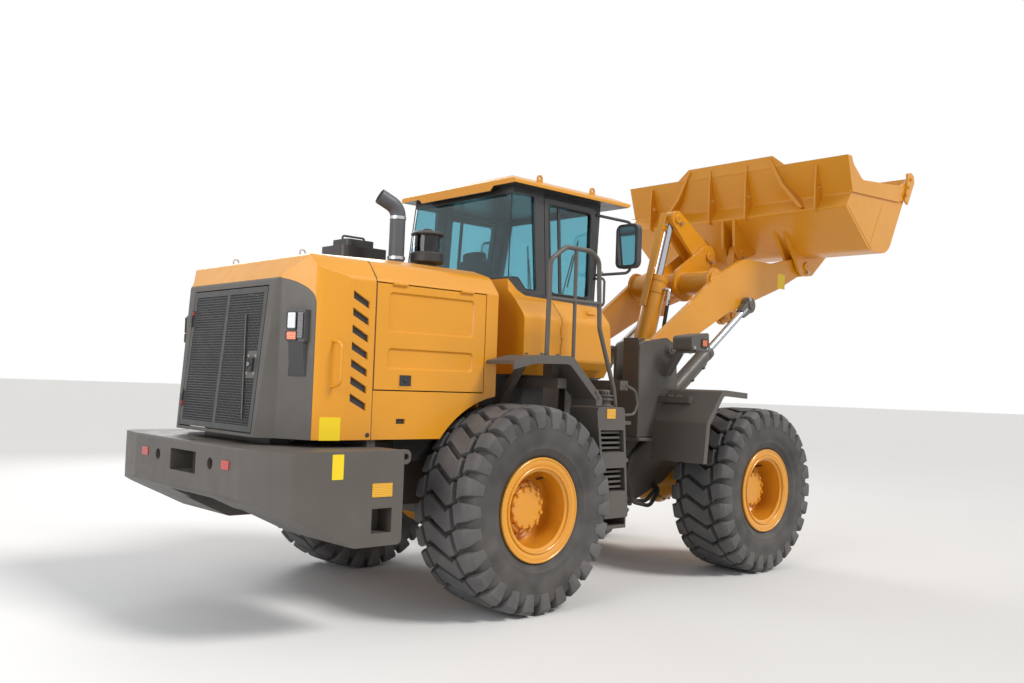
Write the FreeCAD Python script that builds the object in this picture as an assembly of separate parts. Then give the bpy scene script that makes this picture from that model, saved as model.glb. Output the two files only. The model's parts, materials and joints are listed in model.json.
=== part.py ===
import FreeCAD, Part
import math
import os

# Articulated wheel loader, boom raised and bucket racked back.
# Millimetres, +X forward, +Y left, +Z up from the floor. The rear frame is measured from the rear axle's
# centre line, and the front frame, boom and bucket from the front axle's. Each piece is then moved so
# that the origin lies midway along the machine.

V = FreeCAD.Vector

# Running gear
WHEELBASE = 3050.0
TRACK = 2200.0
TYRE_RADIUS = 785.0
TYRE_WIDTH = 600.0
LUGS = 26
LUG_DEPTH = 43.0
RIM_SEAT_RADIUS = 318.0
RIM_FLANGE_RADIUS = 392.0
RIM_WIDTH = 530.0
RIM_LIP = 20.0
RIM_WALL = 22.0
RIM_DISC_INSIDE = 60.0
RIM_DISC = 32.0
HUB_RADIUS = 190.0
HUB_COVER_RADIUS = 160.0
HUB_FACE = 123.0
AXLE_TUBE_RADIUS = 140.0
DIFFERENTIAL_RADIUS = 255.0
TRUNNION_RADIUS = 95.0
TRUNNION_X = 310.0
FRONT_NOSE = 250.0

# Clearances
SEAT_GAP = 0.3
RUN_GAP = 0.5
SIDE_GAP = 5.0
PANEL_GAP = 8.0

# Rear frame
PIVOT_X = WHEELBASE / 2
WEIGHT_REAR = -2180.0
FRAME_PLATE = 30.0
FRAME_HALF_WIDTH = 450.0
FRAME_INNER = FRAME_HALF_WIDTH - FRAME_PLATE
FRAME_TOP = 1250.0
FRAME_BOTTOM = 640.0
FRAME_END = WEIGHT_REAR + 230.0
FRAME_FRONT = PIVOT_X - 345.0
TONGUE_ROOT = PIVOT_X - 525.0
TONGUE_THICKNESS = 40.0
UPPER_TONGUE_Z = 1215.0
LOWER_TONGUE_Z = 655.0
HINGE_EYE_RADIUS = 110.0
HINGE_PIN_RADIUS = 45.0
CLEVIS_GAP = 8.0
ARCH_TOP = TYRE_RADIUS + AXLE_TUBE_RADIUS + 60.0

# Steering cylinders, pins from the articulation pivot as X and Y
STEER_BASE = (-400.0, 340.0)
STEER_EYE = (520.0, 300.0)
STEER_Z = 950.0
STEER_PIN_RADIUS = 22.0

# Counterweight
WEIGHT_FRONT = -1200.0
WEIGHT_BOTTOM = 624.0
WEIGHT_KNEE = 912.0
WEIGHT_HALF_WIDTH = 1260.0
HITCH_SLOT_HALF_WIDTH = 203.0
HITCH_SLOT_BOTTOM = 1030.0
HITCH_SLOT_TOP = 1180.0
HITCH_PIN_BORE = 30.0
REAR_HOLE_RADIUS = 40.0
REAR_HOLE = (420.0, 1120.0)
LASHING_EYE = (-1152.0, 1200.0)
LASHING_EYE_RADIUS = 22.0
LASHING_EAR = 20.0

# Hood
HOOD_WALL = 28.0
HOOD_BOTTOM = 1300.0
HOOD_FRONT = -140.0
HOOD_REAR = WEIGHT_REAR + 208.0
HOOD_HALF_WIDTH = 970.0
HOOD_TOP = 2605.0
SHOULDER_Z = 2440.0
HOOD_SPLIT_X = HOOD_REAR + 252.0
HOOD_FACET_X = HOOD_SPLIT_X + 230.0
HOOD_LEAN = 90.0
HOOD_LEAN_TOP = 2370.0
SIDE_DOOR_REAR = -1280.0
SIDE_DOOR_FRONT = -260.0
SIDE_DOOR_BOTTOM = 1640.0
SIDE_DOOR_TOP = SHOULDER_Z - 40.0
HINGE_BOSS_RADIUS = 14.0
DOOR_PIN_RADIUS = 7.0
HINGE_STAND_OFF = 5.0
GRILLE_HALF_WIDTH = HOOD_HALF_WIDTH - 410.0
GRILLE_BOTTOM = 1330.0
GRILLE_TOP = 2330.0
GRILLE_DOOR_THICKNESS = 40.0
ARCH_RADIUS = TYRE_RADIUS + 60.0
ARCH_INNER = 775.0
SLOTS = 7
SLOT_PITCH = 117.0
SLOT_DEPTH = 20.0
PRESSING_DEPTH = 14.0
LAMP_POD_DEPTH = 45.0
EXHAUST = (-644.0, -300.0)
EXHAUST_RADIUS = 62.0
CLEANER = (-380.0, -350.0)

# Cab
CAB_REAR = 182.0
CAB_FRONT = 1290.0
CAB_BOTTOM = 1800.0
CAB_SILL = 2450.0
CAB_HALF_WIDTH = 720.0
CAB_BULGE = 930.0
CAB_EAVES = 3370.0
CAB_WALL = 35.0
DECK_THICKNESS = 20.0
BEAM_HALF_WIDTH = 1180.0
DOOR_REAR = 620.0
DOOR_FRONT = 1200.0
DOOR_TOP = CAB_EAVES - 48.0
DOOR_LAP = 30.0
DOOR_REST_GAP = 1.0
GLASS_TOP = CAB_EAVES - 60.0
GLASS_INSET = 14.0
GLASS = 6.0
ROOF_THICKNESS = 92.0
ROOF_TOP = CAB_EAVES + ROOF_THICKNESS
ROOF_REAR = 170.0
ROOF_FRONT = 1655.0
ROOF_HALF_WIDTH = 775.0

# Fenders and ladders of the rear frame
FENDER_INNER = 985.0
FENDER_OUTER = 1300.0
FENDER_LIP = 20.0
LADDER_TOP = 1560.0
LADDER_BOTTOM = 560.0
LADDER_INNER = 960.0
LADDER_OUTER = 1270.0
RAIL_Y = 1215.0

# Front frame
PIVOT_BEHIND = -WHEELBASE / 2
TOWER_REAR = PIVOT_BEHIND + 325.0
FRONT_BULKHEAD = PIVOT_BEHIND + 625.0
TOWER_INNER = 430.0
TOWER_PLATE = 35.0
CHASSIS_FRONT = 350.0
DECK_Z = 1305.0

# Arm plane and pins, as X and Z
ARM_Y = 560.0
ARM_THICKNESS = 50.0
BOOM_PIN = (-750.0, 2100.0)
LIFT_PIN = (-788.0, 1535.0)
LIFT_EYE = (742.0, 2660.0)
BUCKET_PIN = (1880.0, 3205.0)
CRANK_PIN = (680.0, 3210.0)
CRANK_TOP = (170.0, 3570.0)
CRANK_LOW = (1250.0, 2600.0)
LINK_PIN = (1400.0, 3360.0)
TILT_PIN = (-400.0, 1700.0)
CROSS_TUBE = (260.0, 2870.0)
CROSS_TUBE_RADIUS = 125.0
PIN_RADIUS = 40.0
LINK_HALF_WIDTH = 44.0
CRANK_PLATE = (50.0, 90.0)
CRANK_BRACKET = (100.0, 140.0)
TILT_BARREL_RADIUS = 108.0
TILT_ROD_RADIUS = 45.0
POSITION_BAR_OFFSET = 137.0
LIFT_BARREL_RADIUS = 76.0
LIFT_ROD_RADIUS = 38.0
LIFT_EYE_HALF = 32.0
LIFT_Y = ARM_Y + ARM_THICKNESS / 2 + SIDE_GAP + LIFT_ROD_RADIUS
TOWER_OUTER = LIFT_Y + LIFT_BARREL_RADIUS + SIDE_GAP + TOWER_PLATE

# Bucket
BUCKET_HALF_WIDTH = 1490.0
BUCKET_WALL = 30.0
BUCKET_SIDE = 28.0
BUCKET_DOUBLER = 14.0
BUCKET_BACK_X = 1220.0
BUCKET_TOP = 4268.0
BUCKET_HEEL = (2176.0, 3315.0)
BUCKET_TIP = (2702.0, 4258.0)

# Half the way from the counterweight's rear face to the bucket's tip
MIDDLE_X = (WEIGHT_REAR + WHEELBASE + BUCKET_TIP[0]) / 2


def box(x0, x1, y0, y1, z0, z1):
    return Part.makeBox(x1 - x0, y1 - y0, z1 - z0, V(x0, y0, z0))


def rod(p, q, radius):
    axis = q.sub(p)
    return Part.makeCylinder(radius, axis.Length, p, axis)


def across(pin, radius, y0, y1):
    return rod(V(pin[0], y0, pin[1]), V(pin[0], y1, pin[1]), radius)


def upright(x, y, radius, z0, z1):
    return rod(V(x, y, z0), V(x, y, z1), radius)


def rounded_wire(points, place):
    # Each point is (u, v) for a sharp corner or (u, v, radius) for a rounded one.
    count = len(points)
    starts, ends, middles = [], [], []
    for i in range(count):
        here = V(points[i][0], points[i][1], 0)
        before = V(points[i - 1][0], points[i - 1][1], 0).sub(here).normalize()
        after_point = points[(i + 1) % count]
        after = V(after_point[0], after_point[1], 0).sub(here).normalize()
        radius = points[i][2] if len(points[i]) > 2 else 0.0
        if radius == 0.0:
            starts.append(here)
            ends.append(here)
            middles.append(None)
            continue
        half = before.getAngle(after) / 2
        run = radius / math.tan(half)
        inward = before.add(after).normalize()
        centre = here.add(inward.multiply(radius / math.sin(half)))
        towards = here.sub(centre).normalize()
        starts.append(here.add(before.multiply(run)))
        ends.append(here.add(after.multiply(run)))
        middles.append(centre.add(towards.multiply(radius)))
    edges = []
    for i in range(count):
        if middles[i] is not None:
            edges.append(Part.Arc(place(starts[i]), place(middles[i]), place(ends[i])).toShape())
        follow = starts[(i + 1) % count]
        if ends[i].distanceToPoint(follow) > 0.01:
            edges.append(Part.makeLine(place(ends[i]), place(follow)))
    return Part.Wire(edges)


def side_plate(points, y0, y1):
    wire = rounded_wire(points, lambda p: V(p.x, y0, p.y))
    return Part.Face(wire).extrude(V(0, y1 - y0, 0))


def cross_plate(points, x0, x1):
    wire = rounded_wire(points, lambda p: V(x0, p.x, p.y))
    return Part.Face(wire).extrude(V(x1 - x0, 0, 0))


def floor_plate(points, z0, z1):
    wire = rounded_wire(points, lambda p: V(p.x, p.y, z0))
    return Part.Face(wire).extrude(V(0, 0, z1 - z0))


def mirrored(points):
    # The right half of an outline given by its left half, for outlines symmetric about Y = 0.
    return [(-p[0],) + tuple(p[1:]) for p in reversed(points)]


def mirrored_plan(points):
    # The same for a plan of (X, Y) points.
    return [(p[0], -p[1]) + tuple(p[2:]) for p in reversed(points)]


def turned(points, centre):
    # A body of revolution about the Y axis through centre, from (radius, y) points.
    wire = rounded_wire(points, lambda p: V(centre.x, centre.y + p.y, centre.z + p.x))
    return Part.Face(wire).revolve(centre, V(0, 1, 0), 360)


def spun(points, x, y):
    # A body of revolution about the upright line through x and y, from (radius, z) points.
    wire = rounded_wire(points, lambda p: V(x + p.x, y, p.y))
    return Part.Face(wire).revolve(V(x, y, 0), V(0, 0, 1), 360)


def other_side(shape):
    return shape.mirror(V(0, 0, 0), V(0, 1, 0))


def on_side(shape, side):
    return shape if side > 0 else other_side(shape)


def both_sides(shape):
    return [shape, other_side(shape)]


def fused(shapes):
    return shapes[0].multiFuse(shapes[1:]).removeSplitter()


def eye_plate(centres, radii, y0, y1):
    # A flat lever: discs at the pins joined by their common tangents.
    shapes = [across(c, r, y0, y1) for c, r in zip(centres, radii)]
    for i in range(len(centres) - 1):
        p = V(centres[i][0], 0, centres[i][1])
        q = V(centres[i + 1][0], 0, centres[i + 1][1])
        run = q.sub(p)
        lean = math.asin((radii[i] - radii[i + 1]) / run.Length)
        along = run.normalize()
        side = V(-along.z, 0, along.x)
        corners = []
        for sign in (1, -1):
            normal = along * math.sin(lean) + side * (sign * math.cos(lean))
            corners.append((p + normal * radii[i], q + normal * radii[i + 1]))
        loop = [corners[0][0], corners[0][1], corners[1][1], corners[1][0]]
        shapes.append(side_plate([(c.x, c.z) for c in loop], y0, y1))
    return fused(shapes)


def pressed(x0, x1, z0, z1, y, depth, slope, radius):
    # The space of a field pressed into a panel whose outer face lies at y, with sloping edges.
    def loop(grow, level):
        corners = [(x0 - grow, z0 - grow, radius), (x1 + grow, z0 - grow, radius),
                   (x1 + grow, z1 + grow, radius), (x0 - grow, z1 + grow, radius)]
        return rounded_wire(corners, lambda p: V(p.x, level, p.y))
    return Part.makeLoft([loop(slope, y + depth), loop(-slope, y - depth)], True)


def bent_tube(points, radius, bend):
    # Straight runs joined by tangent arcs of the radius bend, or of as much as the runs allow.
    points = [V(*p) for p in points]
    edges = []
    start = points[0]
    for before, here, after in zip(points, points[1:], points[2:]):
        back = before.sub(here)
        on = after.sub(here)
        half = back.getAngle(on) / 2
        run = min(bend / math.tan(half), 0.45 * back.Length, 0.45 * on.Length)
        back.normalize()
        on.normalize()
        inward = (back + on).normalize()
        middle = here + inward * (run / math.cos(half) - run * math.tan(half))
        edges.append(Part.makeLine(start, here + back * run))
        edges.append(Part.Arc(here + back * run, middle, here + on * run).toShape())
        start = here + on * run
    edges.append(Part.makeLine(start, points[-1]))
    circle = Part.Wire(Part.makeCircle(radius, points[0], points[1].sub(points[0])))
    return Part.Wire(edges).makePipeShell([circle], True, True)


def hinged(axis_point, axis, length, fixed, moving):
    # A hinge on a panel's edge: pin and end bosses on the fixed piece, a ring on the moving one.
    along = axis * (1 / axis.Length)
    def span(a, b, radius):
        return rod(axis_point + along * (a * length), axis_point + along * (b * length), radius)
    clear = HINGE_BOSS_RADIUS + 2
    fixed = fixed.cut(span(-0.25, 0.25, clear))
    moving = moving.cut(span(-0.52, -0.24, clear)).cut(span(0.24, 0.52, clear))
    for a, b in ((-0.5, -0.25), (0.25, 0.5)):
        fixed = fixed.fuse(span(a, b, HINGE_BOSS_RADIUS))
    fixed = fixed.fuse(span(-0.5, 0.5, DOOR_PIN_RADIUS))
    moving = moving.fuse(span(-0.24, 0.24, HINGE_BOSS_RADIUS))
    return fixed, moving.cut(span(-0.6, 0.6, DOOR_PIN_RADIUS + SEAT_GAP))


def save(name, solids, ahead=0.0):
    compound = Part.makeCompound(solids)
    compound.translate(V(ahead - MIDDLE_X, 0, 0))
    compound.exportStep(os.path.join("parts", name + ".step"))


def tyre_rings(pitch):
    bead_y = RIM_WIDTH / 2 - RIM_WALL
    bead = (RIM_SEAT_RADIUS + SEAT_GAP) / math.cos(pitch / 2)
    heel = (RIM_FLANGE_RADIUS + 28) / math.cos(pitch / 2)
    half = TYRE_WIDTH / 2
    # The lowest corners of the crown stand a sixth of a pitch either side of the bottom
    crown = TYRE_RADIUS / math.cos(0.165 * pitch)
    # Ring: offset along the axle, radius on a lug, radius in a groove, groove's place as a share of
    # the pitch, places in a pitch
    side = [(98, crown, crown - LUG_DEPTH, -0.29, 4),
            (half - 38, TYRE_RADIUS - 17, TYRE_RADIUS - 17 - 0.9 * LUG_DEPTH, 0.15, 4),
            (half - 1, TYRE_RADIUS - 135, TYRE_RADIUS - 139, 0.19, 4),
            (bead_y, heel, heel, 0, 1),
            (bead_y, bead, bead, 0, 1)]
    return [(-y, high, low, -place, count) for y, high, low, place, count in reversed(side)] + side


def tyre():
    # A faceted tyre about the origin: rings of points joined by triangles, lugs slanting to and fro.
    pitch = 2 * math.pi / LUGS
    half_groove = 0.095
    wall = 0.03
    points = []
    facets = []
    rings = []
    for y, high, low, place, count in tyre_rings(pitch):
        stations = [(place + half_groove + wall, high), (place + 1 - half_groove - wall, high),
                    (place + 1 - half_groove, low), (place + 1 + half_groove, low)]
        if count == 1:
            stations = [(place + 0.5, high)]
        ring = []
        for k in range(LUGS):
            for share, radius in stations:
                angle = (k + share) * pitch
                ring.append(len(points))
                points.append(V(radius * math.sin(angle), y, -radius * math.cos(angle)))
        rings.append(ring)
    for i, ring in enumerate(rings):
        follow = rings[(i + 1) % len(rings)]
        for k in range(LUGS):
            facets += strip(ring, follow, k)
    shape = Part.Shape()
    shape.makeShapeFromMesh((points, facets), 0.01)
    return Part.makeSolid(Part.Shell(shape.Faces))


def strip(a, b, k):
    # The triangles of one pitch between two rings with one or four points a pitch.
    def pick(ring, place):
        return ring[place % len(ring)]
    if len(a) > len(b):
        return [(p, r, q) for p, q, r in strip(b, a, k)]
    if len(a) == len(b):
        each = len(a) // LUGS
        quads = [[pick(r, k * each + j + s) for r in (a, b) for s in (0, 1)] for j in range(each)]
        return [t for p, q, r, s in quads for t in ((p, q, s), (p, s, r))]
    here, on = a[k], pick(a, k + 1)
    outer = [pick(b, 4 * k + j) for j in range(5)]
    return [(here, outer[1], outer[0]), (here, outer[2], outer[1]), (here, on, outer[2]),
            (on, outer[3], outer[2]), (on, outer[4], outer[3])]


def wheel(name, x, side, solid_tyre):
    centre = V(x, side * TRACK / 2, TYRE_RADIUS)
    carcass = solid_tyre.copy()
    carcass.translate(centre)
    save("tyre_" + name, [carcass])
    half = RIM_WIDTH / 2
    lip = half - RIM_LIP
    well = RIM_SEAT_RADIUS - RIM_WALL
    front = RIM_DISC - RIM_DISC_INSIDE
    # Radius and offset along the axle, from the disc's middle round the rim and back over the hub
    rim = [(0, -RIM_DISC_INSIDE), (well - 60, -RIM_DISC_INSIDE), (well, -RIM_DISC_INSIDE - RIM_DISC),
           (well, -half), (RIM_FLANGE_RADIUS, -half), (RIM_FLANGE_RADIUS, -lip), (RIM_SEAT_RADIUS, -lip),
           (RIM_SEAT_RADIUS, lip), (RIM_FLANGE_RADIUS, lip), (RIM_FLANGE_RADIUS, half),
           (RIM_FLANGE_RADIUS - 40, half), (well - 9, half - 26), (well - 9, half - 42),
           (well, half - 54), (well, 20, 60), (well - 50, front, 30), (HUB_RADIUS + 12, front),
           (HUB_RADIUS, front + 16), (HUB_RADIUS, HUB_FACE - 26, 12), (HUB_COVER_RADIUS, HUB_FACE - 26),
           (HUB_COVER_RADIUS, HUB_FACE, 14), (0, HUB_FACE)]
    save("rim_" + name, [turned([(p[0], p[1] * side) + tuple(p[2:]) for p in rim], centre)])


def axle(name, x, back, ahead):
    # back and ahead: how far the noses on the differential reach along X.
    inner = TRACK / 2 - RIM_DISC_INSIDE - RUN_GAP
    end = inner - 40
    # Radius and Y from the middle out to the hub flange
    half = [(DIFFERENTIAL_RADIUS, 0), (DIFFERENTIAL_RADIUS, 90, 60), (190, 210), (AXLE_TUBE_RADIUS, 330),
            (AXLE_TUBE_RADIUS, end - 300), (200, end - 260), (200, end), (150, inner), (0, inner)]
    ordered = half[1:] + [(p[0], -p[1]) + tuple(p[2:]) for p in reversed(half[1:])]
    body = turned(ordered, V(0, 0, TYRE_RADIUS))
    nose = rod(V(-back, 0, TYRE_RADIUS), V(ahead, 0, TYRE_RADIUS), TRUNNION_RADIUS)
    save(name, [fused([body, nose])], x)


def tongue(z):
    # Flat tongue of the rear frame, narrowing to the pivot.
    eye = HINGE_EYE_RADIUS
    plan = [(TONGUE_ROOT, 400), (TONGUE_ROOT + 120, 400, 60), (PIVOT_X - 60, eye + 20, 60),
            (PIVOT_X + eye, 60, 60)]
    plate = floor_plate(plan + mirrored_plan(plan), z, z + TONGUE_THICKNESS)
    return plate.cut(upright(PIVOT_X, 0, HINGE_PIN_RADIUS + RUN_GAP / 2, z - 1, z + TONGUE_THICKNESS + 1))


def steering_lug(x, y, root_x):
    # A pair of lug plates from a cross plate at root_x, with the gap for the cylinder's eye between them.
    plates = []
    for z0 in (STEER_Z - 60, STEER_Z + 40):
        pad = box(min(root_x, x), max(root_x, x), y - 45, y + 45, z0, z0 + 20)
        plates.append(pad.fuse(upright(x, y, 45, z0, z0 + 20)))
    return plates


def rear_chassis():
    top = FRAME_TOP
    inner = FRAME_INNER
    plate = side_plate([(FRAME_END, top), (FRAME_END, 880), (WEIGHT_FRONT, 880, 80), (-900, 760, 80),
                        (-380, 760, 60), (-270, ARCH_TOP, 60), (270, ARCH_TOP, 60), (400, 700, 80),
                        (TONGUE_ROOT - 100, FRAME_BOTTOM), (FRAME_FRONT, FRAME_BOTTOM), (FRAME_FRONT, top)],
                       inner, FRAME_HALF_WIDTH)
    bulkhead = box(TONGUE_ROOT, TONGUE_ROOT + 30, -inner, inner, FRAME_BOTTOM, top)
    bulkhead = bulkhead.cut(rod(V(TONGUE_ROOT - 5, 0, 800), V(TONGUE_ROOT + 40, 0, 800), 130))
    shapes = both_sides(plate) + [bulkhead, tongue(UPPER_TONGUE_Z), tongue(LOWER_TONGUE_Z)]
    # Cross members: x0, x1, half width, z0, z1
    members = [(FRAME_END, FRAME_END + 30, inner, 880, top),
               (-1330, -1230, inner, 900, 1000),
               (-640, -540, inner, 900, 1000),
               (-240, -150, ARCH_INNER - 15, top, HOOD_BOTTOM),
               (-TRUNNION_X - 20, -TRUNNION_X + 20, inner, 660, 1180),
               (TRUNNION_X - 20, TRUNNION_X + 20, inner, 660, 1180),
               (TONGUE_ROOT - 50, TONGUE_ROOT + 30, LADDER_INNER - 10, 1170, top)]
    for x0, x1, half, z0, z1 in members:
        shapes.append(box(x0, x1, -half, half, z0, z1))
    shapes += both_sides(box(-1290, -1220, inner, HOOD_HALF_WIDTH - 30, top, HOOD_BOTTOM))
    for sign in (1, -1):
        x, y = PIVOT_X + STEER_BASE[0], sign * STEER_BASE[1]
        shapes += steering_lug(x, y, TONGUE_ROOT + 25)
        shapes.append(upright(x, y, STEER_PIN_RADIUS, STEER_Z - 60, STEER_Z + 60))
    whole = fused(shapes)
    bore = TRUNNION_RADIUS + SEAT_GAP
    whole = whole.cut(rod(V(-TRUNNION_X - 30, 0, TYRE_RADIUS), V(TRUNNION_X + 30, 0, TYRE_RADIUS), bore))
    save("rear_chassis", [whole])


def cab_platform():
    # Deck plate on two beams, each on a pair of posts that stand on the outside of the frame plates.
    under = CAB_BOTTOM - DECK_THICKNESS
    shapes = [box(CAB_REAR, CAB_FRONT - 20, -700, 700, under, CAB_BOTTOM)]
    for x in (330, FRAME_FRONT - 100):
        shapes.append(box(x, x + 100, -BEAM_HALF_WIDTH, BEAM_HALF_WIDTH, under - 80, under))
        shapes += both_sides(box(x + 10, x + 90, FRAME_HALF_WIDTH, FRAME_HALF_WIDTH + 80, FRAME_TOP - 60,
                                 under - 79))
    save("cab_platform", [fused(shapes)])


def counterweight():
    rear = WEIGHT_REAR
    profile = [(WEIGHT_FRONT, FRAME_TOP), (WEIGHT_FRONT, WEIGHT_BOTTOM, 40),
               (rear + 600, WEIGHT_BOTTOM, 60), (rear, WEIGHT_KNEE, 50), (rear, FRAME_TOP, 20)]
    half = WEIGHT_HALF_WIDTH
    block = side_plate(profile, -half, half)
    plan = [(WEIGHT_FRONT, half), (rear + 150, half, 60), (rear + 50, half - 90, 120),
            (rear, half - 430, 120)]
    block = block.common(floor_plate(plan + mirrored_plan(plan), WEIGHT_BOTTOM, FRAME_TOP))
    bay = FRAME_HALF_WIDTH + 10
    block = block.cut(box(FRAME_END, WEIGHT_FRONT + 10, -bay, bay, 500, FRAME_TOP + 10))
    under = side_plate([(rear - 120, 500), (rear - 120, 800), (FRAME_END + 40, 960, 60),
                        (FRAME_END - 5, 500)], -330, 330)
    block = block.cut(under)
    slot = box(rear - 10, rear + 170, -HITCH_SLOT_HALF_WIDTH, HITCH_SLOT_HALF_WIDTH, HITCH_SLOT_BOTTOM,
               HITCH_SLOT_TOP)
    block = block.cut(slot)
    block = block.cut(upright(rear + 80, 0, HITCH_PIN_BORE, WEIGHT_KNEE - 62, FRAME_TOP + 10))
    for y in (-REAR_HOLE[0], REAR_HOLE[0]):
        block = block.cut(rod(V(rear - 10, y, REAR_HOLE[1]), V(FRAME_END + 10, y, REAR_HOLE[1]),
                              REAR_HOLE_RADIUS))
    pocket = box(-1447, -1287, half - 160, half + 40, 709, 871)
    for cutter in both_sides(pocket):
        block = block.cut(cutter)
    ear_y = half - 45 - LASHING_EAR
    ear = side_plate([(WEIGHT_FRONT - 1, 1150), (-1110, 1150, 40), (-1110, FRAME_TOP, 40),
                      (WEIGHT_FRONT - 1, FRAME_TOP)], ear_y, ear_y + LASHING_EAR)
    ear = ear.cut(across(LASHING_EYE, LASHING_EYE_RADIUS, ear_y - 1, ear_y + LASHING_EAR + 1))
    save("counterweight", [fused([block] + both_sides(ear))])


def hood_plan(inset):
    # From the front, past the facets behind the side doors, round to the rear corner.
    half = HOOD_HALF_WIDTH - inset
    return [(HOOD_FRONT, half), (HOOD_FACET_X, half, 200), (HOOD_SPLIT_X, half - 40, 90),
            (HOOD_REAR + 122, half - 280, 60), (HOOD_REAR + inset, half - 370)]


def hood_form(inset):
    # Crossing of three outlines: the section seen from behind, the plan and the side view.
    half = HOOD_HALF_WIDTH - inset
    top = HOOD_TOP - inset
    section = [(half, HOOD_BOTTOM - inset * 3), (half, SHOULDER_Z - 30, 60),
               (half - 110, top - 60, 120), (half - 330, top + 5, 200)]
    body = cross_plate(section + mirrored(section), HOOD_REAR + inset, HOOD_FRONT - inset)
    plan = hood_plan(inset)
    body = body.common(floor_plate(plan + mirrored_plan(plan), HOOD_BOTTOM - 100, HOOD_TOP + 10))
    rear = HOOD_REAR + inset
    side = [(rear, HOOD_BOTTOM - inset * 3), (rear + HOOD_LEAN, HOOD_LEAN_TOP),
            (rear + HOOD_LEAN + 36, HOOD_LEAN_TOP + 50, 40), (rear + 227, top - 53, 60),
            (rear + 1072, top, 300), (HOOD_FRONT - inset, top),
            (HOOD_FRONT - inset, HOOD_BOTTOM - inset * 3)]
    beyond = HOOD_HALF_WIDTH + 100
    return body.common(side_plate(side, -beyond, beyond))


def hood_slots():
    # Slanting pockets in the facet behind a side door.
    pockets = []
    for k in range(SLOTS):
        z = 2320 - SLOT_PITCH * k
        shape = [(SIDE_DOOR_REAR - 184, z), (SIDE_DOOR_REAR - 52, z - 70), (SIDE_DOOR_REAR - 52, z - 120),
                 (SIDE_DOOR_REAR - 184, z - 54)]
        pockets.append(side_plate(shape, HOOD_HALF_WIDTH - SLOT_DEPTH, HOOD_HALF_WIDTH + 20))
    return Part.makeCompound(pockets)


def grab_handle():
    x, y = HOOD_SPLIT_X + 120, HOOD_HALF_WIDTH
    return bent_tube([(x, y - 32, 1974), (x + 20, y + 60, 1950), (x + 20, y + 60, 1680), (x, y - 32, 1655)],
                     11, 45)


def hood():
    shell = hood_form(0).cut(hood_form(HOOD_WALL))
    beyond = HOOD_HALF_WIDTH + 130
    for cutter in both_sides(across((0, TYRE_RADIUS), ARCH_RADIUS, ARCH_INNER, beyond + 100)):
        shell = shell.cut(cutter)
    behind = HOOD_REAR - 130
    grey_zone = side_plate([(behind, 1200), (HOOD_SPLIT_X, 1200), (HOOD_SPLIT_X, HOOD_LEAN_TOP + 20, 190),
                            (behind, HOOD_LEAN_TOP + 20)], -beyond, beyond)
    grey = shell.common(grey_zone)
    yellow = shell.cut(grey_zone)
    low = []
    gap = PANEL_GAP
    for side, name in ((1, "left"), (-1, "right")):
        def zone(z0, z1, shrink):
            bay = box(SIDE_DOOR_REAR + shrink, SIDE_DOOR_FRONT - shrink, HOOD_HALF_WIDTH - 170, beyond,
                      z0 + shrink, z1 - shrink)
            return on_side(bay, side)
        door = shell.common(zone(SIDE_DOOR_BOTTOM, SIDE_DOOR_TOP, gap))
        # Fields pressed into the door: z0 and z1
        for z0, z1 in ((2056, 2337), (1796, 1942)):
            field = pressed(SIDE_DOOR_REAR + 112, SIDE_DOOR_FRONT - 118, z0, z1, HOOD_HALF_WIDTH,
                            PRESSING_DEPTH, 10, 35)
            door = door.cut(on_side(field, side))
        under = zone(1200, SIDE_DOOR_BOTTOM, 0)
        panel = shell.common(under)
        slot = box(-1071, -994, HOOD_HALF_WIDTH - SLOT_DEPTH, beyond, 1409, 1445)
        low.append(panel.cut(on_side(slot, side)))
        yellow = yellow.cut(zone(SIDE_DOOR_BOTTOM, SIDE_DOOR_TOP, 0)).cut(under)
        yellow = yellow.cut(on_side(hood_slots(), side)).fuse(on_side(grab_handle(), side))
        for x in (SIDE_DOOR_REAR + 200, SIDE_DOOR_FRONT - 200):
            place = V(x, side * (HOOD_HALF_WIDTH + HINGE_STAND_OFF), SIDE_DOOR_TOP - gap / 2)
            yellow, door = hinged(place, V(1, 0, 0), 120, yellow, door)
        save("hood_side_door_" + name, [door.removeSplitter()])
    save("hood_shell", [yellow.removeSplitter()])
    save("hood_lower_panels", low)
    half = GRILLE_HALF_WIDTH + gap
    grille_door(grey.cut(box(behind, HOOD_SPLIT_X - 80, -half, half, GRILLE_BOTTOM - gap, GRILLE_TOP + gap)))


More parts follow.
